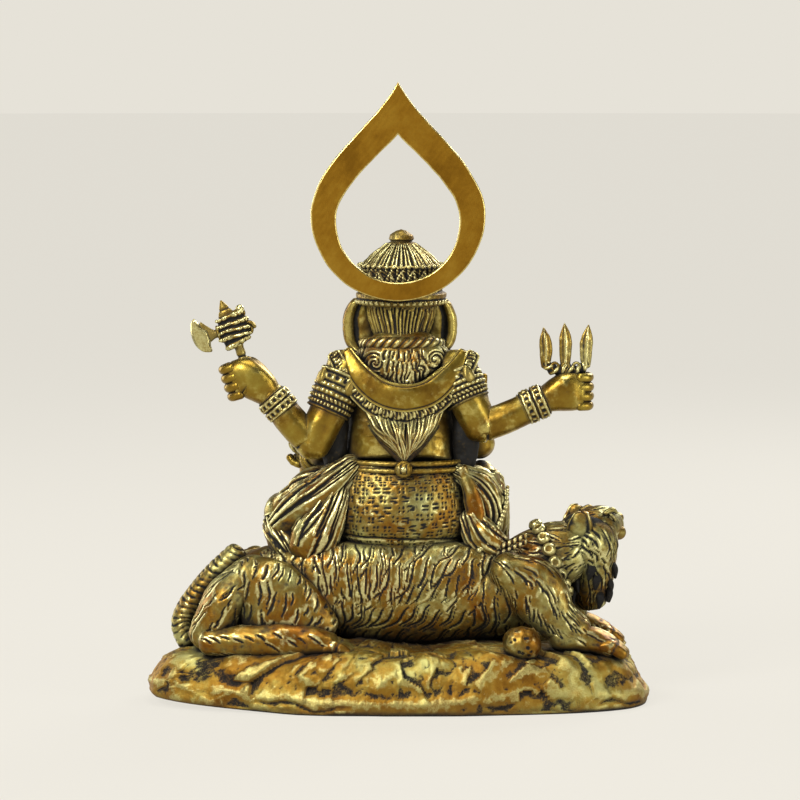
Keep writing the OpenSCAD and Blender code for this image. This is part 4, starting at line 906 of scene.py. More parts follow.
beastSides = beastTrunk()
makePiece("beastTrunk", beastSides[:1], antiqued, "statue", ["beast_body"])
makePiece("beastFlanks", beastSides[1:], antiqued, "statue", [])
for side, word in ((1, "near"), (-1, "far")):
    makePiece("beastHindLeg_" + word, hindLeg(side), antiqued, "statue", ["beast_hind_leg_" + word])
    makePiece("beastForeleg_" + word, foreleg(side), antiqued, "statue", ["beast_foreleg_" + word])
    makePiece("beastEar_" + word, [beastEar(side)], antiqued, "statue", ["beast_ear_" + word])
makePiece("beastTail", [beastTail()], antiqued, "statue", ["beast_tail"])
makePiece("beastNeck", [beastNeck()], antiqued, "statue", ["beast_neck"])
makePiece("beastHead", beastHead(), antiqued, "statue", ["beast_head"])
makePiece("beastCollar", beastCollar(), chased, "statue", ["beast_collar"])
makePiece("looseStone", [looseStone()], (antiquedBrass, "rough_cast_brass"), "statue", ["loose_stone"])
print("beast made")

# The deity's body

deity = {"hipR": 28.0, "headR": 14.2, "dot": 0.43, "dotDepth": 0.7, "rowPitch": 3.2, "clusterPitch": 4.5}


# The skirt's punched pattern: rows of four-dot groups and paired dashes, each row set off from the last
def printMap(surface, radius, seed, low=3.0, high=99.0):
    r = np.random.default_rng(seed)
    width, v0 = 2 * math.pi * radius, surface["along"].min()
    chart = newMap(width, float(surface["along"].max() - v0) + 1, wrap=True)
    count = int(width / deity["clusterPitch"])
    for row, v in enumerate(np.arange(low, min(high, surface["along"].max() - v0 - 2), deity["rowPitch"])):
        for k in range(count):
            u = (k + 0.5 * (row % 2) + r.uniform(-0.12, 0.12)) * width / count
            w = v + 0.9 * math.sin(u / 14) + r.uniform(-0.3, 0.3)
            if r.uniform() < 0.62:
                for du in (-0.75, 0.75):
                    for dv in (-0.7, 0.7):
                        spot = (u + du + r.uniform(-0.15, 0.15), w + dv + r.uniform(-0.15, 0.15))
                        stroke(chart, [spot, (spot[0] + 0.15, spot[1])],
                               deity["dot"] * r.uniform(0.8, 1.15), -deity["dotDepth"], taper=0)
            else:
                for dv in (-0.65, 0.65):
                    stroke(chart, wave((u - 1.1, w + dv), r.uniform(-12, 12), 2.2, count=4),
                           deity["dot"] * 0.8, -deity["dotDepth"], taper=0.2)
    for k in range(60):  # scratches between the groups
        stroke(chart, wave((r.uniform(0, width), r.uniform(0, 30)), r.uniform(-25, 25), r.uniform(1.5, 5),
                           20, 10), 0.3, -0.25)
    return readMap(chart, ((surface["angle"] + 90) % 360) / 360 * width, surface["along"] - v0)


# A map round a limb on which draw(chart, width, length, random) puts its strokes, read back at every point
def lines(surface, radius, draw, seed=0):
    width, v0 = 2 * math.pi * radius, surface["along"].min()
    length = float(surface["along"].max() - v0)
    chart = newMap(width, length + 1, wrap=True)
    draw(chart, width, length, np.random.default_rng(seed))
    return readMap(chart, ((surface["angle"] + 90) % 360) / 360 * width, surface["along"] - v0)


# Long folds that run down the limb
def pleats(chart, width, length, r, pitch=2.6, depth=0.95, fan=6, rad=0.75):
    for k in range(int(width / pitch)):
        u = (k + r.uniform(-0.25, 0.25)) * pitch
        line = wave((u, r.uniform(-2, 3)), 90 + r.uniform(-fan, fan), length * r.uniform(0.6, 1.05),
                    r.uniform(-12, 12), r.uniform(-5, 5), 14)
        stroke(chart, line + np.array([rad * 1.3, 0]), rad * 1.4, 0.45, taper=0.3)
        stroke(chart, line, rad * r.uniform(0.6, 1.0), -depth, taper=0.4)


# A squat limb from the seat to the waist, with the punched pattern and a groove above the hem
def skirt():
    s = upright([[0, 0, backZ + 3.5, 24, 16], [0, 0, backZ + 9, 27.7, 19.5], [0, 0, backZ + 18, 28, 20.5],
                 [0, -1, waistZ - 6, 26.6, 18.5],
                 [0, -1, waistZ + 1.2, 24, 16]], 0.45, domes=(0.55, 0.02))
    h = printMap(s, 26, 201, low=4.5)
    hem = -0.7 * bell(s["along"] - 3.4 - 0.8 * np.cos(angleOf(s)), 0.4)
    return worked(s, h + hem + hammered(s, 202, 0.7, 12), size=1.5, tone=-0.06)


# The folded leg: pleated thigh and shin, then the gathered drape, knot, lap and loose folds over the knee
def legLeft():
    knee = vec(deity["hipR"] + 20, -9, backZ + 14)
    thigh = limb([[9, -4, backZ + 18, 13, 12], [30, -5, backZ + 19, 14, 15], [40, -7, backZ + 16, 12, 12],
                  [*knee, 9, 8.5]], spacing=0.5)
    parts = [pleated(thigh, 12, (3.1, 1.1, 7), 211, 212, 0.8, 8, 1.7)]
    shin = limb([[*(knee + vec(-2, 0, -2)), 8, 7.5], [32, -22, backZ + 8, 8, 7],
                 [16, -27, backZ + 5, 6.5, 6]], spacing=0.5)
    parts.append(pleated(shin, 7, (2.8, 0.8, 8), 213, 214, 0.5, 7, 1.6))
    drape = limb([[19, 7, waistZ - 1, 5, 6], [29, 6.5, backZ + 25, 8.5, 9], [41, 2, backZ + 15, 8.5, 10],
                  [48, -2, backZ + 8, 6, 8]], hint=(0, 1, 0.2), spacing=0.42)
    parts.append(pleated(drape, 8, (2.1, 1.2, 7), 215, 216, 0.6, 7, 1.4))
    knot = upright([[50, -3, backZ + 10, 5, 6], [46, 4, backZ + 5, 7, 6.5], [42, 8, backZ - 1, 5, 4.5]],
                   0.42)
    parts.append(pleated(knot, 6, (2.7, 1.0, 14), 224, 225, 0.8, 5, 1.4))
    lap = upright([[24, 10, backZ + 26, 4, 4], [28, 12, backZ + 17, 7, 6], [33, 12, backZ + 8, 9.5, 6.5],
                   [37, 11, backZ + 1, 8, 6]], 0.42)
    parts.append(pleated(lap, 7.5, (2.1, 1.1, 9), 217, 218, 0.8, 6, 1.4))
    for k in range(4):  # loose folds that lie over the knee
        fold = limb([[27 + 3.2 * k, 13.5 - 2.2 * k, backZ + 24 - 3.2 * k, 1.2, 1.1],
                     [35 + 3.0 * k, 12.5 - 2.4 * k, backZ + 15 - 2.8 * k, 1.9, 1.5],
                     [39 + 3.0 * k, 11.5 - 2.6 * k, backZ + 5 - 1.5 * k, 1.3, 1.2]],
                    hint=(0, 1, 0.3), spacing=0.4)
        parts.append(worked(fold, 0.15 * valueNoise(fold["points"], 1.6, 219), size=1.0))
    return parts


# The hanging leg: pleated thigh, a shin bare below the knee, an anklet, and the cloth that falls behind it
def legRight():
    knee = vec(-deity["hipR"] - 6, -13, backZ + 25)
    thigh = limb([[-8, -6, backZ + 17, 13, 12], [-22.4, -10, backZ + 21, 12, 13], [*knee, 9, 9.5]],
                 spacing=0.5)
    parts = [pleated(thigh, 11, (3.0, 0.9, 9), 221, 222, 0.7, 8, 1.7)]
    shin = upright([[*(knee + vec(0, -1, -1)), 8.5, 8.5], [*(knee + vec(-3, -10, -14)), 7.5, 7],
                    [*(knee + vec(-5, -14, -33)), 5.8, 5.8]], 0.5)
    h = lines(shin, 7, lambda c, w, n, q: pleats(c, w, n, q, 2.8, 0.7, 8),
              223) * (1 - smoothStep(shin["along"], 22, 26))
    parts.append(worked(shin, h + hammered(shin, 224, 0.5, 7), size=1.6))
    for z, rad in ((-30, 6.4), (-27.5, 6.5)):  # the anklet's two hoops of beads
        a = np.arange(18) * 2 * math.pi / 18
        mid = knee + vec(-4.6, -13.4, z)
        parts.append(beads(mid + np.stack([rad * np.cos(a), rad * np.sin(a), 0 * a], 1), 1.05, wearAndShade=0.8))
    # the broad plain fold that hangs from the belt, the ribbed one behind the knee and the beaded hem
    # between them
    strip = upright([[-24.5, 9, waistZ - 1, 2.0, 1.6], [-28, 11, waistZ - 10, 3.0, 1.8],
                     [-30.5, 12, backZ + 14, 3.4, 1.8], [-30, 12.5, backZ + 3.5, 3.0, 1.6]],
                    0.45, domes=(0.4, 0.4))
    parts.append(worked(strip, hammered(strip, 226, 0.4, 5)
                        + 0.35 * (np.abs(np.cos(angleOf(strip))) > 0.93), size=1.4, tone=0.08))
    drape = upright([[-22, 5, waistZ - 2, 4, 6], [-31, 3, backZ + 27, 6.5, 9], [-36, 1, backZ + 17, 7, 10],
                     [-34, 4, backZ + 5, 6.5, 8]], 0.42)
    parts.append(pleated(drape, 7.5, (2.6, 1.1, 10), 227, 228, 0.6, 7, 1.4))
    lap = upright([[-29, 9, backZ + 14, 5, 5], [-33, 10.5, backZ + 7, 7.5, 6], [-38, 9, backZ + 2, 7, 5.5]],
                  0.42)
    parts.append(pleated(lap, 6.5, (2.6, 0.9, 14), 229, 230, 0.8, 6, 1.4))
    hem = curveThrough([[-31.5, 15, backZ + 2], [-36, 14.2, backZ + 6], [-39.5, 11, backZ + 12],
                        [-42, 7, backZ + 18], [-42.5, 3, backZ + 24]], 17)
    parts.append(beads(hem, 1.25, wearAndShade=0.8))
    parts.append(beads(hem + vec(-0.6, -1.8, 1.6), 0.8, wearAndShade=0.7))
    for off in (0.0, 2.4):  # reins that run from under the hem to the beast's neck
        rein = upright([[-30, 13.5, backZ + 0.5 - off, 1.0, 0.9], [-40, 13.6, backZ + 3.2 - off, 1.0, 0.9],
                        [-50, 13.2, backZ + 7.5 - off, 0.9, 0.8]], 0.4)
        parts.append(worked(rein, 0.3 * np.cos(rein["along"] * 2.6 + angleOf(rein)), size=0.8, tone=0.1))
    return parts


# A limb in pleats (pitch, depth, fan) plus hammering of one depth and scale
def pleated(surface, radius, fold, seed, hammerSeed, depth, scale, size):
    h = lines(surface, radius, lambda c, w, n, q: pleats(c, w, n, q, *fold), seed)
    return worked(surface, h + hammered(surface, hammerSeed, depth, scale), size=size)


# A smooth limb with five toes across its tip, each with a groove for its nail
def foot(stations, heading, width, seed):
    s = limb(stations, spacing=0.45)
    parts = [worked(s, hammered(s, seed, 0.2, 4), tone=0.12)]
    tip, side = vec(*stations[-1][:3]), unit(np.cross(up3, np.asarray(heading, float)))
    for k in range(5):
        off = (k - 2) * width / 4.6
        size = 1.7 if k == 4 else 1.25
        base = tip + side * off + vec(0, 0, -0.3)
        toe = limb([[*(base - unit(vec(*heading)) * 2), size, size],
                    [*(base + unit(vec(*heading)) * (3.2 - 0.35 * abs(k - 3))), size * 0.95, size * 0.9]],
                   spacing=0.35, hint=(0, 0.02, 1))
        nail = -0.25 * bell(toe["along"] - toe["length"] * 0.6, 0.4)
        parts.append(worked(toe, nail, size=1.0, tone=0.15))
    return parts


# A limb with the spine, navel and belly fold pressed in by bell curves, then webs and the sacred thread
def torso():
    s = upright([[0, -1, waistZ - 0.6, 22.8, 15], [0, -4.5, waistZ + 9, 22.5, 19.5],
                 [0, -5, waistZ + 20, 21.5, 19], [0, -1.5, waistZ + 31, 22, 14.5],
                 [0, 0, shoulderZ - 5, 22.5, 11], [0, 0, shoulderZ, 14, 9]], 0.55, domes=(0.02, 0.5))
    p = s["points"]
    back = p[..., 1] > 0
    spine = -0.9 * bell(p[..., 0] + 1, 2.2) * back
    navel = -1.6 * np.exp(-((p[..., 0] ** 2 + (p[..., 2] - waistZ - 9) ** 2) / 1.6)) * ~back
    fold = -0.6 * bell(p[..., 2] - waistZ - 22 - 0.05 * p[..., 0] ** 2 / 4, 0.7) * ~back
    parts = [worked(s, spine + navel + fold + hammered(s, 231, 0.7, 10), size=2.0, tone=0.1)]
    for side in (-1, 1):  # the webs of metal left between the arms and the back, toned near black: painted shade in the gap between them
        shadeWeb = upright([[side * 24, 3, shoulderZ - 8, 4, 3.2], [side * 25.5, 4.5, shoulderZ - 20, 5, 3.4],
                       [side * 26.5, 5, shoulderZ - 33, 5.5, 4], [side * 26, 3, waistZ - 1, 4, 4]],
                      0.5)
        parts.append(worked(shadeWeb, hammered(shadeWeb, 234, 0.5, 4, 0.3), size=1.5, tone=-0.75))
    # the sacred thread: three cords from the left shoulder to the right hip
    for k in range(3):
        path = [[17 - k, -9 + k * 0.2, shoulderZ - 4], [11 - k, -17.6, shoulderZ - 15],
                [3 - k, -23.2, waistZ + 19], [-9 - k, -22.6, waistZ + 10], [-20 - 0.6 * k, -13, waistZ + 3]]
        cord = limb([[*q, 0.75, 0.75] for q in path], hint=(0, 1, 0.4), spacing=0.4)
        parts.append(worked(cord, 0.18 * np.cos(cord["along"] * 3.4 + angleOf(cord)), size=0.7, tone=0.1))
    return parts


# Two twisted hoops, a beaded buckle in front and a fringe of tassels with a bead at each root
def belt():
    parts = []
    for z, rx, ry in ((waistZ - 1.3, 25.6, 17.4), (waistZ + 1.5, 25.2, 17.0)):
        s = torus([0, -1, z], rx, ry, 0.95, lobes=2, twist=60, depth=0.14, spacing=0.35)
        parts.append(worked(s, 0, tone=0.12))
    buckle = plate([[5.5 * math.cos(t), 4.2 * math.sin(t)] for t in np.arange(24) * math.pi / 12],
                   [0, -18.6, waistZ], [1, 0, 0], [0, 0, 1], 2.6, crown=0.8)
    parts.append(buckle)
    a = np.arange(14) * 2 * math.pi / 14
    parts.append(beads(np.stack([5.3 * np.cos(a), 0 * a - 19.6, waistZ + 4.0 * np.sin(a)], 1), 0.7))
    r = np.random.default_rng(241)
    for k in range(9):  # tassels of the girdle over the lap
        x = -16 + 4 * k
        top = vec(x, -17.6 + 0.012 * x * x, waistZ - 2)
        lock = upright([[*top, 0.9, 0.8], [*(top + vec(0, -2.2, -4)), 1.3, 1.0],
                        [*(top + vec(r.uniform(-0.5, 0.5), -2.6, -8)), 1.5, 0.9]], 0.4)
        parts.append(worked(lock, -0.3 * (np.cos(angleOf(lock) * 5) > 0.2), size=0.8, tone=0.05))
        parts.append(beads([top + vec(0, -1.2, -1)], 1.2))
    return parts


# A grooved ball with a lobed ring and a bead behind it
def beltKnot():
    centre = vec(-1.4, 18.4, waistZ - 0.2)
    parts = [beads([centre + vec(0, 1.6, 0)], 1.5),
             worked(torus(centre + vec(0, 0.5, 0), 2.4, 2.4, 0.85, axis=(0, 1, 0), lobes=3, twist=12,
                          depth=0.3, spacing=0.3), 0, tone=0.1)]
    ball = limb([[*(centre - vec(1.2, 0, 0)), 2.6, 2.6], [*(centre + vec(1.2, 0, 0)), 2.6, 2.6]],
                spacing=0.35, domes=(0.9, 0.9))
    parts.append(worked(ball, -0.3 * (np.cos(ball["along"] * 3) > 0.5), size=0.9))
    return parts


# A squarish flat limb with softly rounded ends
def neckBand(stations, spacing=0.4):
    return upright(stations, spacing, domes=(0.6, 0.6), square=2.6)


# A plain band in a curve across the back, with a raised lip and a groove along both edges
def shawl():
    z = shoulderZ
    s = neckBand([[21, 9, z + 1.5, 2.2, 1.8], [16, 12.2, z - 7, 4.5, 2.2], [8, 14, z - 13.8, 5.5, 2.6],
                  [-2, 14.8, z - 16.2, 5.7, 2.8],
                  [-12, 14, z - 13.8, 5.5, 2.6], [-20, 12.2, z - 7, 4.5, 2.2], [-25, 9, z + 1, 2.2, 1.8]])
    across = np.cos(angleOf(s))
    out = np.sin(angleOf(s)) > 0
    rim = 0.45 * bell(np.abs(across) - 0.86, 0.07) * out - 0.35 * bell(np.abs(across) - 0.72, 0.05) * out
    return worked(s, rim + hammered(s, 251, 0.35, 7, 0.07), size=1.5, tone=0.14)


# A band below the shawl: leaves from a triangle wave along it, veins between, a lip at each edge
def shawlBorder():
    z = shoulderZ
    path = [[26, 9.5, z + 0.5, 2.6, 1.8], [20.5, 11.6, z - 9.6, 3, 2], [11, 13.2, z - 19.6, 3.2, 2.4],
            [-1.5, 14.4, z - 23, 3.3, 2.4],
            [-14, 13.2, z - 19.6, 3.2, 2.4], [-23.5, 11.6, z - 9.6, 3, 2], [-29, 9.5, z + 0.5, 2.6, 1.8]]
    s = neckBand(path, 0.35)
    across = np.cos(angleOf(s))
    out = np.sin(angleOf(s)) > 0
    rim = 0.5 * bell(np.abs(across) - 0.9, 0.08) - 0.75 * bell(np.abs(across) - 0.68, 0.09)
    leaf = np.abs(((s["along"] / 2.2 + 0.5 * np.abs(across)) % 1) - 0.5) * 4 - 1
    vein = np.where(np.abs(across) < 0.62,
                    0.3 * np.clip(leaf * 1.4, -1, 1)
                    * np.sign(np.sin(s["along"] * 2 * math.pi / 4.4 + 3 * across)) - 0.25, 0)
    return [worked(s, (rim + vein) * out + 0.15 * valueNoise(s["points"], 1.0, 262), size=1.2, tone=-0.05)]


# A wedge of hair down to the belt, laid with fifteen locks that meet at its point
def hairTail():
    parts = [worked(upright([[-1.5, 12.5, waistZ + 16.5, 14.5, 2.4], [-1.5, 13, waistZ + 10, 10, 3.2],
                             [-1.5, 14.5, waistZ + 4, 4.2, 2.6], [-1.5, 15.5, waistZ + 1, 1.8, 1.8]],
                            0.5), 0, tone=-0.2)]
    r = np.random.default_rng(271)
    for k in np.linspace(-1, 1, 15):
        top = vec(-1.5 + 16 * k, 11.5 + 2.6 * (1 - k * k), waistZ + 19.0 + 7 * abs(k) ** 1.6)
        mid = vec(-1.5 + 12.2 * k + r.uniform(-1.2, 1.2), 15.2 + 2.0 * (1 - k * k),
                  waistZ + 13.5 + 3.0 * abs(k))
        low = vec(-1.5 + 7.0 * k + r.uniform(-1.5, 1.5), 17.0 + 0.8 * (1 - k * k),
                  waistZ + 7.5 + 3.6 * abs(k))
        end = vec(-1.5 + 3.0 * k, 17.8, waistZ + 3.0 + 4.5 * abs(k))
        lock = upright([[*top, 1.3, 1.1], [*mid, 1.45, 1.3], [*low, 1.25, 1.1], [*end, 0.7, 0.7]], 0.4)
        parts.append(worked(lock, 0.22 * np.cos(angleOf(lock) * 5 + lock["along"] * 0.5), size=0.9,
                            tone=0.03))
    return parts


# Locks and curls behind the neck, drawn flat: a curl at each side and short wavy locks between and below
def curlMap(chart, ox, oz):
    r = np.random.default_rng(281)
    for cx, cz, turn, grow in ((-12.5, 0.6, 1, 3.8), (11.5, -0.6, -1, 4.4), (6.2, 2.6, 1, 2.0),
                               (-7.0, -3.5, -1, 2.3)):
        for arm in range(2):
            t = np.linspace(0.6, 4.6 * math.pi / 2 + 2.4, 40)
            rad = grow * t / t[-1]
            line = np.stack([ox + cx + rad * np.cos(turn * t + arm * math.pi),
                             oz + cz + rad * np.sin(turn * t + arm * math.pi) * 1.1], 1)
            furStroke(chart, line, 0.42, 0.75, 0.5)
    for row in range(5):
        z = 4.5 - 4.2 * row
        half = 14 - 2.2 * row
        for x in np.arange(-half, half, 1.75):
            if (abs(x + 12) < 4 or abs(x - 11.5) < 4.4) and row < 3:
                continue
            line = wave((ox + x + r.uniform(-0.4, 0.4), oz + z + r.uniform(-0.7, 0.7)),
                        -90 + 1.6 * x + r.uniform(-14, 14), r.uniform(3.6, 6.4), r.uniform(-25, 25),
                        r.uniform(8, 22), 9)
            furStroke(chart, line, 0.4 * r.uniform(0.8, 1.2), 0.8, 0.5)


# The mass of curls behind the neck, with a rope roll along its top and four locks at each side
def hairCurls():
    z = shoulderZ
    s = upright([[-1.5, 7, z + 5.5, 14, 6], [-1.5, 8.4, z - 1, 16, 6.6], [-1.5, 10, z - 7.5, 12, 6],
                 [-1.5, 11.5, z - 12, 6, 4.2]], 0.38)
    ox, oz = 20, 24
    chart = newMap(40, 34, 0.18)
    curlMap(chart, ox, oz - 2)
    p = s["points"]
    h = readMap(chart, p[..., 0] + 1.5 + ox, p[..., 2] - z + oz) * (p[..., 1] > 6)
    parts = [worked(s, h + hammered(s, 282, 0.3, 5), size=1.2)]
    rollPath = [[14.5, 2, z + 4.4, 1.9, 1.9], [10.5, 9.6, z + 5.2, 2.0, 2.0], [-1, 13.2, z + 5.6, 2.0, 2.0],
                [-12.5, 9.6, z + 5.2, 2.0, 2.0], [-16, 2, z + 4.4, 1.9, 1.9]]
    roll = limb(rollPath, spacing=0.4)
    parts.append(worked(roll, 0.45 * np.abs(np.cos(roll["along"] * 0.9 + angleOf(roll) * 1.5)), size=1.0,
                        tone=0.05))
    for side in (-1, 1):  # the two side locks that fall over the shoulders
        for k in range(4):
            lock = upright([[-1.5 + side * (12.5 + k), 6 - k, z + 5 - k, 1.5, 1.2],
                            [-1.5 + side * (15.5 + k * 1.2), 6 - 1.6 * k, z + 0.5 - k, 1.7, 1.3],
                            [-1.5 + side * (17 + k), 5 - 2 * k, z - 3.5 - k * 0.7, 0.9, 0.8]], 0.4)
            parts.append(worked(lock, 0.25 * np.cos(angleOf(lock) * 5 + lock["along"]), size=0.9))
    return parts


# Skull with combed strands, face with two domes on the brow, then lids, brows, mark, mouth and jaw
def head():
    z, c, r = shoulderZ, crownZ, deity["headR"]
    skull = upright([[-0.5, 1, z - 2, r * 0.8, 11], [-0.5, 0, z + 6, r * 0.74, 12],
                     [-0.5, -1, c - 5, r * 0.93, 13.3], [-0.5, -1, c + 0.5, r * 0.97, 13.5]],
                    0.4, domes=(0.1, 0.02))
    h = lines(skull, 13, strandsBack, 291)
    parts = [worked(skull, h + hammered(skull, 292, 0.3, 6), size=1.2, tone=-0.04)]
    face = limb([[-0.5, -3, c - 7, r * 0.9, 9.5], [-0.5, -11, c - 8.5, r * 0.85, 9.6],
                 [-0.5, -17, c - 12, r * 0.58, 7.5]], spacing=0.45)
    p = face["points"]
    dome = sum(0.9 * np.exp(-(((p[..., 0] + 0.5 - k * 5.2) / 4.2) ** 2
                              + ((p[..., 2] - c + 1.2) / 3.4) ** 2)) for k in (-1, 1))
    parts.append(worked(face, dome + hammered(face, 293, 0.25, 5), size=1.6, tone=0.12))
    for side in (-1, 1):
        eye = vec(-0.5 + side * 7.3, -15.4, c - 9.2)
        parts.append(beads([eye], [1.5], squeeze=(1.25, 0.8, 0.75), wearAndShade=0.7))
        for rise, rad in ((1.25, 0.5), (2.3, 0.6), (-1.1, 0.45)):
            lid = limb([[*(eye + vec(side * 2.6, 1.6, rise * 0.3)), rad * 0.7, rad * 0.7],
                        [*(eye + vec(0, -0.5, rise)), rad, rad],
                        [*(eye + vec(-side * 2.6, -0.2, rise * 0.25)), rad * 0.7, rad * 0.7]],
                       hint=(0, 1, 0.2), spacing=0.3)
            parts.append(worked(lid, 0, tone=0.15))
        brow = limb([[*(eye + vec(side * 4, 3, 3)), 0.7, 0.7], [*(eye + vec(side * 0.6, 0, 4.4)), 1.0, 0.9],
                     [*(eye + vec(-side * 3.6, -1, 3.6)), 0.6, 0.6]], hint=(0, 1, 0.2), spacing=0.35)
        parts.append(worked(brow, 0, tone=0.1))
    mark = plate([[1.4 * math.cos(t), 2.2 * math.sin(t)] for t in np.arange(16) * math.pi / 8],
                 [-0.5, -20.0, c - 5.4], [1, 0, 0], [0, 0.35, 1], 1.0, crown=0.4)
    parts.append(mark)
    mouth = limb([[-4.5, -17.5, c - 18, 1.0, 0.8], [-0.5, -19.5, c - 19.8, 1.6, 1.2],
                  [3.5, -17.5, c - 18, 1.0, 0.8]], spacing=0.4)
    parts.append(worked(mouth, 0, tone=0.05))
    jaw = limb([[-0.5, -8, c - 15, 7.5, 5], [-0.5, -15, c - 18, 4.6, 3.6]], spacing=0.5)
    parts.append(worked(jaw, 0, tone=0.05))
    return parts


# Combed strands down the back of the head, from the crown to the neck
def strandsBack(chart, width, length, q):
    for u in np.arange(width * 0.27, width * 0.75, 1.5):
        line = wave((u + q.uniform(-0.2, 0.2), q.uniform(3, 6)), 90 + q.uniform(-2, 2),
                    length - q.uniform(3, 7), 0, q.uniform(-5, 5), 12)
        stroke(chart, line + np.array([0.75, 0]), 0.62, 0.5, taper=0.3)
        stroke(chart, line, 0.5, -0.95, taper=0.35)


# A tapering limb that swings to one side, with grooves at an even pitch along it
def elephantTrunk():
    c = crownZ
    s = limb([[-0.5, -15, c - 11, 7.5, 7], [-0.5, -23, c - 19, 6, 6], [1, -27, c - 30, 5.2, 5.2],
              [7, -29.5, c - 41, 4.8, 4.8],
              [16, -31, c - 50, 4.4, 4.4], [25, -31, c - 53, 4, 4], [31, -30.5, c - 51.5, 3.6, 3.6]],
             hint=(0, 1, 0.2), spacing=0.4)
    v = s["along"] + 0.5 * valueNoise(s["points"], 3, 301) + 0.5 * np.sin(angleOf(s) * 2)
    wrinkle = -0.42 * (np.cos(2 * math.pi * v / 2.3) > 0.72) * smoothStep(s["along"], 6, 12)
    tip = -0.6 * bell(s["along"] - s["length"] + 1, 0.8)
    return worked(s, blurred(wrinkle, 1, 1) + tip + hammered(s, 302, 0.25, 4), size=1.1, tone=0.1)


# A short tapering limb with rings near its root
def tusk(side):
    c = crownZ
    s = limb([[-0.5 + side * 5, -15, c - 14, 1.9, 1.9], [-0.5 + side * 8, -22, c - 17, 1.7, 1.7],
              [-0.5 + side * 9.5, -27, c - 16, 1.1, 1.1]], spacing=0.35)
    rings = -0.2 * bell((s["along"] - 6) % 2.0 - 1, 0.25) * (s["along"] > 5) * (s["along"] < 9)
    return worked(s, rings, size=0.8, tone=0.25)


# A flat limb: a thick rolled rim at the outer edge, a groove inside it and faint folds
def ear(side):
    c = crownZ
    s = upright([[side * 14, -2, c - 19, 3, 1.6], [side * 15.6, -4, c - 14, 6, 2],
                 [side * 16, -4, c - 6, 6.2, 2.2], [side * 15, -2, c - 0.5, 4.5, 1.8]],
                0.4, square=2.4)
    across = np.cos(angleOf(s)) * side
    rim = 1.2 * bell(across - 0.75, 0.3) - 1.0 * bell(across - 0.22, 0.13)
    folds = -0.2 * (np.cos(s["along"] * 0.8 + across * 3) > 0.8) * (across < 0.1)
    return worked(s, rim + blurred(folds, 2, 2) + hammered(s, 311, 0.2, 4), size=1.6, tone=0.08)


# A turned form: brim, band of leaves cut from triangle waves round it, ribbed cone and bud, then beads
def crown():
    r, h = 18.0, 30.0
    profile = [[-0.4, 13.6], [0, r - 1], [1.6, r], [4.5, r], [5, r - 1.2], [6, r - 2], [0.36 * h, r - 1.6],
               [0.5 * h, r - 1.2], [0.53 * h, r - 2.6], [0.66 * h, 11.6],
               [0.82 * h, 5.2], [0.835 * h, 4.2], [0.85 * h, 4.6], [0.865 * h, 5.1], [0.92 * h, 4.6],
               [0.97 * h, 2.4], [0.995 * h, 0.2]]
    s = turned(profile, [-0.5, 0, crownZ], spacing=0.35, smooth=False)
    z = s["points"][..., 2] - crownZ
    a = angleOf(s)
    wob = 0.4 * valueNoise(s["points"], 3, 321)
    leaves = np.abs(((a * 22 / (2 * math.pi) + 0.2 * wob) % 1) - 0.5) * 2
    band = smoothStep(z, 5.4, 6.2) * (1 - smoothStep(z, 15.2, 15.8))
    leafEdge = 10.2 + 4.2 * (1 - leaves) + wob
    leaf = np.where(z < leafEdge, 0.55, -0.55) - 0.8 * bell(leaves - 0.02, 0.10) - 0.7 * bell(leaves - 0.98,
            0.08)
    scroll = 0.5 * np.cos(a * 44 + z * 2.1) * np.cos(z * 2.2)
    ribs = np.abs(((a * 16 / (2 * math.pi)) % 1) - 0.5) * 2
    cone = smoothStep(z, 15.9, 16.6) * (1 - smoothStep(z, 24.0, 24.6))
    rib = 0.5 * bell(ribs - 1, 0.2) - 0.95 * bell(ribs - 0.62, 0.12) - 0.5 * bell(ribs, 0.1)
    brim = -0.45 * bell(z - 2.4, 0.35) * (z < 5)
    hgt = band * (leaf + scroll) * 0.9 + cone * rib + brim + 0.12 * valueNoise(s["points"], 1.1, 322)
    parts = [worked(s, hgt, size=1.3)]
    # the socket for the halo's peg: a short cylinder toned black, painted shade for the dark inside of the hole
    boreShadeDisc = upright([[0, 15.4, crownZ + 3.5, 1.6, 1.6], [0, 15.4, crownZ + 5.12, 1.6, 1.6]], 0.4,
                   domes=(0.02, 0.02))
    parts.append(worked(boreShadeDisc, 0, tone=-1.0))
    k = np.arange(44) * 2 * math.pi / 44
    parts.append(beads(np.stack([-0.5 + 17.7 * np.cos(k), 17.7 * np.sin(k), 0 * k + crownZ + 1.2], 1), 0.95,
                       wearAndShade=0.8))
    k = np.arange(36) * 2 * math.pi / 36
    parts.append(beads(np.stack([-0.5 + 16.9 * np.cos(k), 16.9 * np.sin(k), 0 * k + crownZ + 15.7], 1),
                       0.85, wearAndShade=0.9))
    crest = plate([[4.2 * math.cos(t) * (1 - 0.35 * max(0, math.sin(t))), 6.0 * math.sin(t)]
                   for t in np.arange(28) * math.pi / 14], [-0.5, -17.2, crownZ + 9.5], [1, 0, 0],
                  [0, 0.2, 1], 1.8, crown=0.6)
    parts.append(crest)
    parts.append(beads([[-0.5, -18.9, crownZ + 8.6]], 1.6))
    return parts


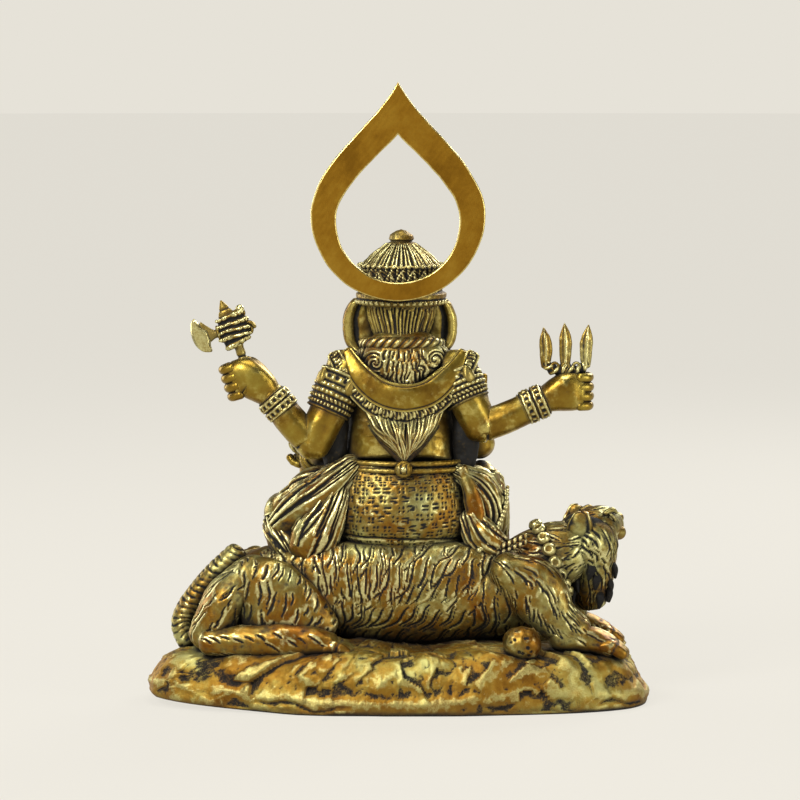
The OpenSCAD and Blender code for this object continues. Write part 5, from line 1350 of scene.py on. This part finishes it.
# Two rows of beads and a band along one curve, with a pendant at its lowest point
def necklace():
    z = shoulderZ
    path = [[17, -6, z - 2], [13.5, -14.4, z - 9], [6.5, -19.4, z - 17], [0, -21.6, z - 20],
            [-6.5, -19.4, z - 17], [-13.5, -14.4, z - 9], [-17, -6, z - 2]]
    parts = [beads(evenly(path, 3.1)[0], 1.75, wearAndShade=0.8)]
    inner = evenly([[p[0] * 0.86, p[1] * 0.97 + 0.2, p[2] + 3.2] for p in path], 1.9)[0]
    parts.append(beads(inner, 1.0, wearAndShade=0.85))
    band = limb([[p[0], p[1] + 1.4, p[2], 2.3, 1.5] for p in path], hint=(0, 1, 0.3), spacing=0.5)
    parts.append(worked(band, 0.2 * np.cos(band["along"] * 2), size=1))
    parts.append(plate([[3.6 * math.cos(t), 4.6 * math.sin(t) - 1.4 * (math.sin(t) < -0.6)]
                        for t in np.arange(24) * math.pi / 12], [0, -23.4, z - 24], [1, 0, 0], [0, 0.1, 1],
                       1.8, crown=0.7))
    parts.append(beads([[0, -24.9, z - 24]], 1.5))
    return parts

# Arms, hands and what they wear

arm = {"r": 7.6, "fist": 8.6, "finger": 2.05, "fingerPitch": 3.75}
shoulderPoint = {1: vec(21, 4, shoulderZ - 4.5), -1: vec(-21, 4, shoulderZ - 4.5)}
elbowPoint = {1: vec(34.8, 8.5, waistZ + 8.5), -1: vec(-32, 8.5, waistZ + 15.5)}
wristPoint = {1: vec(51.5, 7.2, shoulderZ - 16), -1: vec(-58, 7.2, shoulderZ - 17.5)}
fistPoint = {1: vec(61, 7.2, shoulderZ - 8.6), -1: vec(-67.2, 7.2, shoulderZ - 14.3)}
leanOf = {1: math.radians(18), -1: 0.0}


# A smooth limb from the shoulder to the elbow
def upperArm(side):
    a, b, r = shoulderPoint[side], elbowPoint[side], arm["r"]
    s = upright([[*a, r + 0.4, r + 0.4], [*(a * 0.55 + b * 0.45 + vec(0, 0.8, 0)), r + 0.2, r + 0.4],
                 [*b, r - 0.8, r - 0.8]], 0.5)
    return worked(s, hammered(s, 331 + side, 0.45, 7, 0.06), size=2, tone=0.12)


# A short sleeve of jewelled bands: a leaf on top, two rows of beads between plain hoops, a braid at its
# edge
def armlet(side):
    a, b, r = shoulderPoint[side], elbowPoint[side], arm["r"]
    s = upright([[*(a * 0.9 + b * 0.1), r + 1.3, r + 1.3],
                 [*(a * 0.66 + b * 0.34 + vec(0, 0.5, 0)), r + 1.8, r + 1.8],
                 [*(a * 0.42 + b * 0.58 + vec(0, 0.6, 0)), r + 1.2, r + 1.2]], 0.38, domes=(0.08, 0.06))
    v, u = s["along"], angleOf(s)
    n = s["length"]
    h = 0.55 * bell(v - 0.8, 0.5) - 0.6 * bell(v - 2.0, 0.4)
    scallop = 0.45 * np.cos(u * 16) * bell(v - 3.6, 0.9)
    groove = sum(-0.75 * bell(v - n * k, 0.35) for k in (0.34, 0.5, 0.66, 0.8, 0.93))
    rows = sum(0.45 * bell(v - n * k, 0.55) * (0.5 + 0.5 * np.cos(u * 26 + k * 9)) for k in (0.42, 0.58))
    braid = 0.45 * np.cos(u * 30 + v * 2.2) * bell(v - n * 0.73, 0.7) + 0.4 * np.cos(u * 34) * bell(v
            - n * 0.865, 0.6)
    parts = [worked(s, h + scallop + groove + rows + braid + 0.12 * valueNoise(s["points"], 1.1, 341),
                    size=1.1, tone=-0.14)]
    axis = unit(b - a)
    for turn in (60, 150, 240, 330):  # pointed leaves round the sleeve
        t = math.radians(turn)
        sideways = unit(np.cross(vec(0, 1, 0), axis))
        out = sideways * math.cos(t) + np.cross(axis, sideways) * math.sin(t)
        spot = a * 0.78 + b * 0.22 + vec(0, 0.4, 0) + out * (r + 1.9)
        cross = unit(np.cross(axis, out))
        leaf = [[2.4 * math.sin(q) * (1 - 0.3 * math.cos(q)), 3.7 * math.cos(q)]
                for q in np.arange(20) * math.pi / 10]
        parts.append(plate(leaf, spot - out * 0.5, cross, axis * -1, 1.3, crown=0.8, wearAndShade=0.6))
    return parts


# A smooth limb from the elbow to the wrist, with one crease inside the elbow
def forearm(side):
    a, b, r = elbowPoint[side], wristPoint[side], arm["r"]
    s = upright([[*a, r - 1.2, r - 1.2], [*((a + b) / 2 + vec(0, 0, -0.6)), r - 1.3, r - 1.1],
                 [*b, r - 2.2, r - 2.2]], 0.5)
    crease = -0.7 * bell(s["along"] - 2.2 - 1.2 * np.cos(angleOf(s)), 0.5)
    return worked(s, crease + hammered(s, 351 + side, 0.35, 6, 0.06), size=1.8, tone=0.14)


# A sleeve cut by three grooves, with four hoops and two braided rows between them
def bracelet(side):
    a, b, r = elbowPoint[side], wristPoint[side], arm["r"]
    s = upright([[*(a * 0.36 + b * 0.64), r - 1.0, r - 1.0], [*(a * 0.18 + b * 0.82), r - 0.8, r - 0.8],
                 [*b, r - 1.0, r - 1.0]], 0.35, domes=(0.1, 0.1))
    v, u, n = s["along"], angleOf(s), s["length"]
    h = sum(-0.8 * bell(v - n * k, 0.36) for k in (0.04, 0.52, 0.97)) + sum(0.4 * bell(v - n * k, 0.4)
            for k in (0.14, 0.44, 0.6, 0.88))
    h = h + sum(0.5 * np.cos(u * 15 + 5 * k) * np.cos((v - n * k) * 1.5) * bell(v - n * k, 1.1)
                for k in (0.29, 0.74))
    return [worked(s, h + 0.1 * valueNoise(s["points"], 0.9, 361), size=1.0, tone=0.02)]


# A hand closed round a shaft that stands along the weapon's own line: the back of the hand towards +Y, four
# fingers that go round the outside to the front, and the thumb over them
def fist(side):
    w, f, r = wristPoint[side], fistPoint[side], arm["r"]
    lean, k = leanOf[side], arm["fist"]
    shaft = vec(math.sin(lean), 0, math.cos(lean))
    outer = vec(side * math.cos(lean), 0, -side * math.sin(lean)) if side > 0 else vec(-1, 0, 0)
    palm = upright([[*w, r - 2.4, r - 2.2], [*(w * 0.5 + f * 0.5 + vec(0, 0, 0.4)), k * 0.82, k * 0.74],
                    [*(f + vec(0, 0.4, 0)), k * 0.9, k * 0.72],
                    [*(f + outer * 5.2 + vec(0, 0.8, 0)), k * 0.84, k * 0.5]], 0.42, domes=(0.4, 0.4),
                   square=2.5)
    parts = [worked(palm, hammered(palm, 371 + side, 0.35, 5, 0.06), size=1.6, tone=0.14)]
    mouth = f + outer * (1.5 if side > 0 else 1.2)
    # The mouth of the bore that the shaft stands in, toned black as painted shade for its dark inside, and its
    # worn rim
    for end, level in ((1, 6.6 if side > 0 else 6.4), (-1, 6.4)):
        boreShadeDisc = upright([[*(mouth + shaft * end * (level - 2.0)), 2.3, 2.3],
                        [*(mouth + shaft * end * (level + 0.15)), 2.3, 2.3]], 0.4, domes=(0.02, 0.02))
        parts.append(worked(boreShadeDisc, 0, tone=-1.0))
        parts.append(worked(torus(mouth + shaft * end * level, 2.7, 2.7, 0.6, axis=shaft), 0, tone=0.1))
    for j in range(4):
        rise = shaft * ((1.5 - j) * arm["fingerPitch"])
        size = arm["finger"] * (0.92 if j in (0, 3) else 1.0)
        path = [f + outer * 4.2 + vec(0, 3.4, 0), f + outer * 7.4 + vec(0, 1.8, 0),
                f + outer * 7.9 + vec(0, -2.6, 0), f + outer * 5.2 + vec(0, -6.2, 0),
                f + outer * 0.6 + vec(0, -6.6, 0), f - outer * 2.4 + vec(0, -5.4, 0)]
        finger = limb([[*(p + rise), size, size] for p in path], hint=tuple(shaft), spacing=0.4)
        joint = sum(-0.3 * bell(finger["along"] - finger["length"] * q, 0.4) for q in (0.36, 0.64))
        parts.append(worked(finger, joint, size=1.2, tone=0.08))
    thumbPath = [f - outer * 4.5 + vec(0, -2.5, 0) + shaft * 3, f - outer * 2.5 + vec(0, -7.2, 0)
                 + shaft * 4.6, f + outer * 2.6 + vec(0, -8.8, 0) + shaft * 4.2,
                 f + outer * 5.6 + vec(0, -8.2, 0) + shaft * 3.2]
    thumb = limb([[*p, q, q] for p, q in zip(thumbPath, (2.6, 2.4, 2.2, 1.8))], hint=tuple(shaft),
                 spacing=0.4)
    parts.append(worked(thumb, -0.25 * bell(thumb["along"] - thumb["length"] * 0.7, 0.5), size=1.2,
                        tone=0.1))
    return parts


# Two smooth limbs that meet at the elbow, with three rings on each
def frontArm(side, elbow, wrist):
    upper = upright([[side * 18, -3, shoulderZ - 5, 7.4, 7.4], [side * 26, -9, shoulderZ - 20, 6.8, 6.8],
                     [*elbow, 6.2, 6.2]], 0.5)
    lower = limb([[*elbow, 6, 6], [*((elbow + wrist) / 2), 5.4, 5.4], [*wrist, 4.6, 4.6]], hint=(0, 1, 0.1),
                 spacing=0.5)
    parts = [worked(q, hammered(q, 381 + side, 0.35, 6, 0.06), size=1.8, tone=0.12) for q in (upper, lower)]
    for centre, axis, rad in ((vec(side * 24.8, -8, shoulderZ - 17), unit(vec(side * 8, -6, -15)), 7.3),
                              (wrist * 0.75 + elbow * 0.25, unit(wrist - elbow), 5.6)):
        for off in (-1.9, 0, 1.9):
            parts.append(worked(torus(centre + axis * off, rad, rad, 0.95 if off else 1.2, axis=axis,
                                      lobes=2 if not off else 0, twist=30, depth=0.25), 0, tone=0.15))
    return parts


frontElbow = {1: vec(31, -12, waistZ + 5), -1: vec(-32, -13, waistZ + 6)}
bowlPoint = vec(38, -29, waistZ + 0.5)
frontWrist = {1: bowlPoint + vec(-3, 5, -2.5), -1: vec(-31, -28, waistZ + 14)}


# A flat palm with four fingers and a thumb, each grooved at its two joints
def openHand(palmStations, fingers, thumb, seed):
    palm = upright(palmStations, 0.4, square=2.6)
    parts = [worked(palm, hammered(palm, seed, 0.15, 3), tone=0.12)]
    for path, size in fingers + [thumb]:
        q = limb([[*p, size, size * 0.95] for p in path], hint=(0.1, 1, 0), spacing=0.35)
        joint = sum(-0.16 * bell(q["along"] - q["length"] * k, 0.35) for k in (0.35, 0.68))
        parts.append(worked(q, joint, size=1.0, tone=0.1))
    return parts


# The right front hand, upright, with a small beaded disc on its palm
def blessingHand():
    w = frontWrist[-1]
    fingers = []
    for k in range(4):
        x = (k - 1.5) * 2.7
        long = 8.2 - 0.9 * abs(k - 1.4)
        fingers.append(([w + vec(0.8 + x, -3.6, 10.5), w + vec(0.9 + x * 1.04, -3.9, 13.5),
                         w + vec(1 + x * 1.08, -3.5, 11.5 + long)], 1.35))
    thumb = ([w + vec(4.2, -3.6, 3.5), w + vec(7.2, -4.6, 7.4), w + vec(7.6, -4.8, 11)], 1.55)
    parts = openHand([[*w, 4.4, 4.2], [*(w + vec(0.5, -3, 6)), 6.0, 2.9],
                      [*(w + vec(0.9, -3.6, 11)), 5.6, 2.4]], fingers, thumb, 391)
    a = np.arange(10) * 2 * math.pi / 10
    parts.append(beads(w + vec(0.8, -6.0, 6.5) + np.stack([1.9 * np.cos(a), 0 * a - 0.1, 1.9 * np.sin(a)],
            1), 0.5))
    return parts


# The left front hand, its fingers spread under the bowl
def bowlHand():
    w, b = frontWrist[1], bowlPoint
    fingers = []
    for k in range(4):
        a = math.radians(-150 + 34 * k)
        out = vec(math.cos(a), math.sin(a), 0)
        fingers.append(([b + out * 3 + vec(0, 0, -4.2), b + out * 5.6 + vec(0, 0, -3.4),
                         b + out * 7.0 + vec(0, 0, -1.4)], 1.5))
    thumb = ([b + vec(3.0, 1.5, -4), b + vec(5.6, 0.6, -3.0), b + vec(7.0, -0.8, -1.2)], 1.6)
    return openHand([[*(w + vec(1.3, -2.6, 0.4)), 4.2, 3.0], [*(b + vec(-1, -0.5, -3.6)), 6.5, 2.8],
                     [*(b + vec(0.5, -4.5, -3.4)), 5.6, 2.2]], fingers, thumb, 392)


# A turned bowl with petals round its side, six dumplings in a ring and one on top
def sweetBowl():
    b = bowlPoint
    s = turned([[-1.5, 0.1], [-1.5, 4], [-0.9, 4.4], [0, 4.5], [3, 6.8], [5.2, 7.5], [6.0, 7.5], [6.2, 6.9],
                [5.2, 6.4], [4.4, 0.1]], b, spacing=0.35, smooth=False)
    u, z = angleOf(s), s["points"][..., 2] - b[2]
    petals = 0.4 * np.cos(u * 14) * smoothStep(z, 0.4,
            1.4) * (1 - smoothStep(z, 4.4, 5.0)) * (s["along"] < 13.5)
    parts = [worked(s, petals, size=1.0)]
    for k in range(7):  # folded dumplings: a ball whose top is drawn into a point by eight pleats
        a = k * math.pi / 3
        spot = b + (vec(4.2 * math.cos(a), 4.2 * math.sin(a), 5.2) if k < 6 else vec(0, 0, 7.4))
        m = turned([[-2.2, 0.1], [-1.9, 1.4], [-0.6, 2.6], [0.6, 2.5], [1.6, 1.5], [2.6, 0.5], [3.2, 0.1]],
                   spot, spacing=0.4)
        parts.append(worked(m, 0.2 * np.cos(angleOf(m) * 8) * smoothStep(m["points"][..., 2] - spot[2],
                -0.8, 1.4), size=0.9, tone=0.1))
    return parts


# Halo and weapons, each a casting of its own that lifts out

haloShape = {"x": 0.8, "front": 18.45, "thick": 3.0, "r": 34.3, "band": 10.0, "foot": 7.2, "crest": 20.4,
             "bevel": 0.4, "rise": 1.505}


def flame(r, drop, rise, belly, neck, count):  # a lower half circle and two flanks that meet in a point
    a = np.radians(np.linspace(180, 360, count, endpoint=False))
    t = np.linspace(0, 1, count)[:, None]
    flank = np.array([[r, -drop], [r, belly * r], [neck * r, rise - 0.45 * r], [0, rise]])
    curve = (1 - t) ** 3 * flank[0] + 3 * t * (1 - t) ** 2 * flank[1] + 3 * t * t * (1
            - t) * flank[2] + t**3 * flank[3]
    base = np.stack([r * np.cos(a), -drop + r * np.sin(a)], 1)
    return np.concatenate([base, curve[:-1], curve[:0:-1] * [-1, 1]])


# The flame ring: its outline and its opening joined by rows of points over both faces, then lug and peg
def haloPlate():
    g = haloShape
    centreZ = crownZ + 5 - 2.4 + g["r"]
    outer = flame(g["r"], 0, g["rise"] * g["r"], 0.55, 0.23, 200)
    inner = flame(g["r"] - g["band"], g["band"] - g["foot"], g["rise"] * g["r"] - g["crest"], 0.4, 0.4, 200)
    wob = 0.22 * valueNoise(np.stack([outer[:, 0], 0 * outer[:, 0], outer[:, 1]], 1), 7, 401)[:, None]
    outer, inner = outer + unit(outer) * wob, inner - unit(inner) * wob * 0.8
    b, t = g["bevel"], g["thick"]
    wide = np.linalg.norm(outer - inner, axis=1)[:, None]
    shares = np.concatenate([np.linspace(0, 1, 26), np.linspace(1, 0, 26)])
    depth = np.concatenate([np.zeros(26), np.full(26, t)])
    inset = b / wide
    share = inset + (1 - 2 * inset) * shares[None]
    edge = np.array([[1, t * 0.12], [1, t * 0.88]]), np.array([[0, t * 0.88], [0, t * 0.12]])
    share = np.concatenate([share[:, :26], np.ones((len(outer), 1)) * edge[0][None, :, 0], share[:, 26:],
                            np.ones((len(outer), 1)) * edge[1][None, :, 0]], 1)
    depth = np.concatenate([depth[:26], edge[0][:, 1], depth[26:], edge[1][:, 1]])
    flat = inner[:, None] * (1 - share[..., None]) + outer[:, None] * share[..., None]
    points = np.stack([g["x"] + flat[..., 0], g["front"] + depth + 0 * flat[..., 0],
                       centreZ + flat[..., 1]], -1)
    file = 0.012 * np.cos((points[..., 0] * 0.8 + points[..., 2] * 0.6) * 3.1
                          + 2 * valueNoise(points, 6, 402)) + 0.1 * valueNoise(points, 12, 403)
    part = worked({"points": points, "spacing": 0.5, "loop": True},
                  file * (np.abs(depth - t / 2) > t * 0.4), size=1.5, tone=0.08)
    # the plate's edges and rims are lightened: filed-edge wear together with a painted edge highlight
    edgeWearAndSheen = np.broadcast_to(np.isin(np.arange(points.shape[1]), [0, 25, 26, 27, 28, 53, 54, 55]) * 0.45,
                               points.shape[:2]).ravel()
    part["wearAndShade"] = np.clip(part["wearAndShade"] + edgeWearAndSheen, 0, 1)
    lugZ = crownZ + 5
    lug = limb([[0, 13.4, lugZ + 1.7, 2.2, 1.7], [0, g["front"] + 0.2, lugZ + 1.7, 2.2, 1.7]], spacing=0.4,
               domes=(0.05, 0.05), square=8)
    peg = upright([[0, 15.4, lugZ - 3.2, 1.4, 1.4], [0, 15.4, lugZ + 1, 1.4, 1.4]], 0.4, domes=(0.15, 0.15))
    return [part, worked(lug, 0), worked(peg, 0)]


# Shaft, ribbed block, finial, scroll and a crescent blade, laid out from the top of the fist
def axePiece():
    foot = fistPoint[1] + vec(1.6, 0, arm["fist"] * 0.9)
    lean = leanOf[1]
    right, rise = vec(math.cos(lean), 0, -math.sin(lean)), vec(math.sin(lean), 0, math.cos(lean))

    def at(u, v, y=0.0):  # the place u across, v up and y back from the mouth of the bore
        return foot + right * u + rise * v + vec(0, y, 0)

    shaft = upright([[*at(0, -8.4), 2.0, 2.0], [*at(0, 0), 2.0, 2.0], [*at(0, 4), 1.8, 1.8],
                     [*at(0, 8), 1.9, 1.9]], 0.35, domes=(0.1, 0.1))
    parts = [worked(shaft, -0.45 * bell(shaft["along"] - 9.2, 0.5) + 0.3 * bell(shaft["along"] - 14, 0.8),
                    tone=0.1)]
    block = upright([[*at(-0.4, 6.4), 5.0, 2.7], [*at(-0.2, 8), 6.0, 3.3], [*at(-0.3, 12.5), 6.4, 3.5],
                     [*at(-0.2, 17), 5.6, 3.2], [*at(0, 18.6), 4.4, 2.4]], 0.35, domes=(0.3, 0.3),
                    square=3.2)
    run = block["along"] + 0.5 * valueNoise(block["points"], 4, 431)
    bar = np.cos(run * 2 * math.pi / 2.7)
    ribs = 0.55 * np.clip(bar * 1.7, -1,
                          1) + 0.3 * np.cos(angleOf(block)
                                            * 14) * (bar > 0) + 0.3 * valueNoise(block["points"], 1.2, 432)
    parts.append(worked(block, ribs, size=1.0))
    finial = upright([[*at(0.8, 18), 3.4, 1.6], [*at(0.9, 20.4), 2.4, 1.4], [*at(1.1, 24), 0.5, 0.5]], 0.35)
    parts.append(worked(finial, -0.35 * bell(finial["along"] - 2.6, 0.4), size=1.0, tone=0.05))
    parts.append(beads([at(-5.0, 18.8)], 1.8, wearAndShade=0.85))
    parts.append(worked(torus(at(-4.6, 17.2), 1.5, 1.5, 0.7, axis=(0, 1, 0)), 0, tone=0.1))
    t = np.linspace(0, 3.2 * math.pi, 26)
    curl = [[*at(-5.8 - (2.9 - 0.24 * q) * math.cos(q) * 0.9, 10.3 + (2.9 - 0.24 * q) * math.sin(q)), 0.85,
             1.5] for q in t]
    parts.append(worked(upright(curl, 0.35), 0, tone=0.1))
    parts.append(worked(torus(at(6.0, 12.2), 2.6, 1.8, 0.6, axis=right), 0, tone=0.1))
    neck = limb([[*at(5, 12.2), 1.5, 2.2], [*at(7.4, 12.3), 1.2, 1.7], [*at(10.2, 12.8), 1.1, 3.6],
                 [*at(12.6, 13.3), 1.1, 5.6]], hint=tuple(rise), spacing=0.35)
    parts.append(worked(neck, 0))
    edge = [[9.6, 10.8], [10.4, 8.6], [10.6, 6.2], [12.6, 6.4], [14.6, 7.6], [16.1, 10.2], [16.6, 13.4],
            [16.2, 16.8], [15.0, 19.6], [13.6, 20.6], [12.6, 18.8], [11.4, 16.4], [9.8, 14.4]]
    fine = curveThrough(edge + [edge[0]], 90)[:-1]
    parts.append(plate(fine, at(0, 0), right, rise, 2.6, crown=0.25, bevel=0.6, wearAndShade=0.8))
    return parts


# Shaft, a scrolled cup and three leaf blades that swell and end in a point
def tridentPiece():
    foot = fistPoint[-1] + vec(1.2, 0, arm["fist"] * 0.86)

    def at(u, v, y=0.0):  # the place u across, v up and y back from the mouth of the bore
        return foot + vec(u, y, v)

    shaft = upright([[*at(0, -8.4), 2.0, 2.0], [*at(0, 1.5), 2.0, 2.0]], 0.35, domes=(0.1, 0.1))
    parts = [worked(shaft, 0, tone=0.1)]
    cup = upright([[*at(8.2, 6.4), 1.6, 1.6], [*at(7.4, 2.8), 1.9, 1.9], [*at(3.6, 1.0), 2.1, 2.1],
                   [*at(0, 1.6), 2.4, 2.3], [*at(-3.6, 1.0), 2.1, 2.1], [*at(-7.4, 2.8), 1.9, 1.9],
                   [*at(-8.2, 6.4), 1.6, 1.6]], 0.35)
    scroll = 0.45 * np.cos(cup["along"] * 2.1 + angleOf(cup) * 2)
    scroll = scroll + 0.2 * valueNoise(cup["points"], 1.3, 411)
    parts.append(worked(cup, scroll * smoothStep(np.abs(cup["along"] - cup["length"] / 2), 11, 7),
                        size=1.0))
    for u, root, high, tilt in ((8.0, 4.4, 18.2, 0.9), (0.2, 4.2, 20.0, 0.4), (-8.0, 4.4, 19.4, -0.9)):
        blade = upright([[*at(u, root - 2), 1.8, 1.5], [*at(u + 0.1, root), 2.1, 1.5],
                         [*at(u, root + 0.4 * (high - root)), 2.6, 1.5],
                         [*at(u + tilt * 0.4, root + 0.68 * (high - root)), 2.2, 1.2],
                         [*at(u + tilt, high - 0.6), 0.35, 0.35]], 0.3, domes=(0.5, 1.2))
        across = np.abs(np.cos(angleOf(blade)))
        rib = 0.32 * bell(across, 0.2) - 0.14 * bell(across - 0.5, 0.16) + hammered(blade, 412, 0.15, 3)
        parts.append(worked(blade, rib, size=0.9, tone=0.1))
    for u in (-4.2, 0.2, 4.4):
        parts.append(worked(torus(at(u, 2.6, 1.4), 1.4, 1.4, 0.5, axis=(0, 1, 0)), 0, tone=0.05))
        parts.append(worked(torus(at(u, 2.6, -1.4), 1.4, 1.4, 0.5, axis=(0, 1, 0)), 0, tone=0.05))
    return parts


bodyPieces = [
    ("skirt", lambda: [skirt()], antiqued, "hips"), ("legLeft", legLeft, antiqued, "leg_left"),
    ("legRight", legRight, antiqued, "leg_right"), ("torso", torso, rubbed, "torso"),
    ("footLeft", lambda: foot([[17, -27.8, backZ + 5, 5.2, 5.2], [10, -30, backZ + 3.4, 5.4, 4.2],
                               [4, -31, backZ + 2.4, 5.2, 2.8]], (-1, -0.15, -0.1), 10, 421), rubbed,
     "foot_left"),
    ("footRight", lambda: foot([[-39, -27, backZ - 12, 5.0, 5.2], [-39, -32, backZ - 17, 5.2, 3.8],
                                [-39, -36, backZ - 19, 5.2, 2.6]], (0, -1, -0.2), 10, 422), rubbed,
     "foot_right"),
    ("belt", belt, chased, "belt"), ("beltKnot", beltKnot, chased, "belt_knot"),
    ("shawl", lambda: [shawl()], rubbed, "shawl"), ("shawlBorder", shawlBorder, chased, "shawl_border"),
    ("hairTail", hairTail, antiqued, "hair_tail"), ("hairCurls", hairCurls, antiqued, "hair_curls"),
    ("head", head, rubbed, "head"), ("crown", crown, chased, "crown"),
    ("elephantTrunk", lambda: [elephantTrunk()], rubbed, "elephant_trunk"),
    ("necklace", necklace, chased, "necklace"),
    ("frontHandLeft", bowlHand, rubbed, "front_hand_left"), ("sweetBowl", sweetBowl, chased, "sweet_bowl"),
    ("blessingHand", blessingHand, rubbed, "blessing_hand")]
for name, build, finish, node in bodyPieces:
    makePiece(name, build(), finish, "statue", [node])
for side, word in ((1, "left"), (-1, "right")):
    for name, build, finish in (("upperArm", lambda s: [upperArm(s)], rubbed), ("armlet", armlet, chased),
                                ("forearm", lambda s: [forearm(s)], rubbed),
                                ("bracelet", bracelet, chased),
                                ("fist", fist, rubbed), ("tusk", lambda s: [tusk(s)], rubbed),
                                ("ear", lambda s: [ear(s)], rubbed),
                                ("frontArm", lambda s: frontArm(s, frontElbow[s], frontWrist[s]), rubbed)):
        node = {"upperArm": "upper_arm", "frontArm": "front_arm"}.get(name, name) + "_" + word
        makePiece(name + "_" + word, build(side), finish, "statue", [node])
print("deity made")
makePiece("haloPlate", haloPlate(), filed, "halo_plate", ["halo"])
makePiece("axe", axePiece(), chased, "axe_piece", ["axe"])
makePiece("trident", tridentPiece(), chased, "trident_piece", ["trident"])
print("halo and weapons made")

# Floor, light and camera

studio = {"paper": "#e6e2d8", "distance": 1.5, "elevation": 5.5, "lens": 168.75, "aim": 0.487}


def layFloor():  # a wide round sheet under the object
    a = np.arange(64) * 2 * math.pi / 64
    rings = np.array([[[r * math.cos(t), r * math.sin(t), -0.0002] for t in a]
                      for r in (0.01, 0.5, 2.0, 12.0)])
    part = worked({"points": rings / mm, "spacing": 1.0, "loop": False})
    mesh = bpy.data.meshes.new("floor")
    mesh.from_pydata(part["points"][:-1] * mm, [], part["quads"].tolist() + part["tris"][:64].tolist())
    floor = bpy.data.objects.new("floor", mesh)
    bpy.context.scene.collection.objects.link(floor)
    paper = bpy.data.materials.new("matPaper")
    paper.use_nodes = True
    shader = paper.node_tree.nodes["Principled BSDF"]
    pale = linear(studio["paper"])
    shader.inputs["Base Color"].default_value = (*[0.09 * c for c in pale[:3]], 1.0)
    shader.inputs["Emission Color"].default_value = pale
    shader.inputs["Emission Strength"].default_value = 0.935
    shader.inputs["Roughness"].default_value = 0.9
    shader.inputs["Specular IOR Level"].default_value = 0.0
    mesh.materials.append(paper)


def areaLight(name, place, size, power, colour="#ffffff"):
    light = bpy.data.lights.new(name, "AREA")
    light.shape, light.size, light.size_y = "RECTANGLE", size[0], size[1]
    light.energy, light.color = power, linear(colour)[:3]
    lamp = bpy.data.objects.new(name, light)
    lamp.location = place
    aim = mathutils.Vector((0, 0, 0.11)) - mathutils.Vector(place)
    lamp.rotation_euler = aim.to_track_quat("-Z", "Y").to_euler()
    bpy.context.scene.collection.objects.link(lamp)


# Soft studio surround: pale at the horizon, where it meets the floor, and dimmer overhead, so that the
# metal has something to reflect
def paintSky():
    world = bpy.data.worlds.new("studio")
    bpy.context.scene.world = world
    world.use_nodes = True
    tree = world.node_tree
    tree.nodes.clear()
    spot = addNode(tree, "ShaderNodeTexCoord").outputs["Generated"]
    height = addNode(tree, "ShaderNodeSeparateXYZ", {0: spot}).outputs["Z"]
    ramp = addNode(tree, "ShaderNodeValToRGB", {"Fac": height})
    stops = ramp.color_ramp.elements
    stops[0].position, stops[0].color = 0.10, linear(studio["paper"])
    stops[1].position, stops[1].color = 0.34, linear("#4c4a46")
    sky = addNode(tree, "ShaderNodeBackground", {"Color": ramp.outputs["Color"], "Strength": 1.0})
    addNode(tree, "ShaderNodeOutputWorld", {"Surface": sky.outputs[0]})


# The camera stands on a line tilted up by the elevation, at a set distance from the aim
def setCamera():
    data = bpy.data.cameras.new("camera")
    data.lens, data.sensor_width = studio["lens"], 36.0
    data.clip_start, data.clip_end = 0.05, 40.0
    camera = bpy.data.objects.new("camera", data)
    e = math.radians(studio["elevation"])
    aim = mathutils.Vector((0, 0, cadHigh[2] * studio["aim"]))
    back = mathutils.Vector((0, math.cos(e), math.sin(e)))
    camera.location = aim + back * studio["distance"]
    camera.rotation_euler = (-back).to_track_quat("-Z", "Y").to_euler()
    bpy.context.scene.collection.objects.link(camera)
    bpy.context.scene.camera = camera


layFloor()
paintSky()
areaLight("keyLight", (0.55, 0.75, 0.75), (0.35, 0.35), 12.0)
areaLight("fillLight", (-0.85, 0.55, 0.35), (0.3, 0.7), 4.0)
areaLight("frontKey", (-0.55, -0.8, 0.7), (0.45, 0.45), 9.0)
areaLight("frontFill", (0.8, -0.5, 0.3), (0.3, 0.7), 4.0)
areaLight("topLight", (0.0, 0.05, 1.1), (0.5, 0.5), 7.0)
setCamera()
bpy.context.scene.view_settings.view_transform = "Standard"
print("stage set")
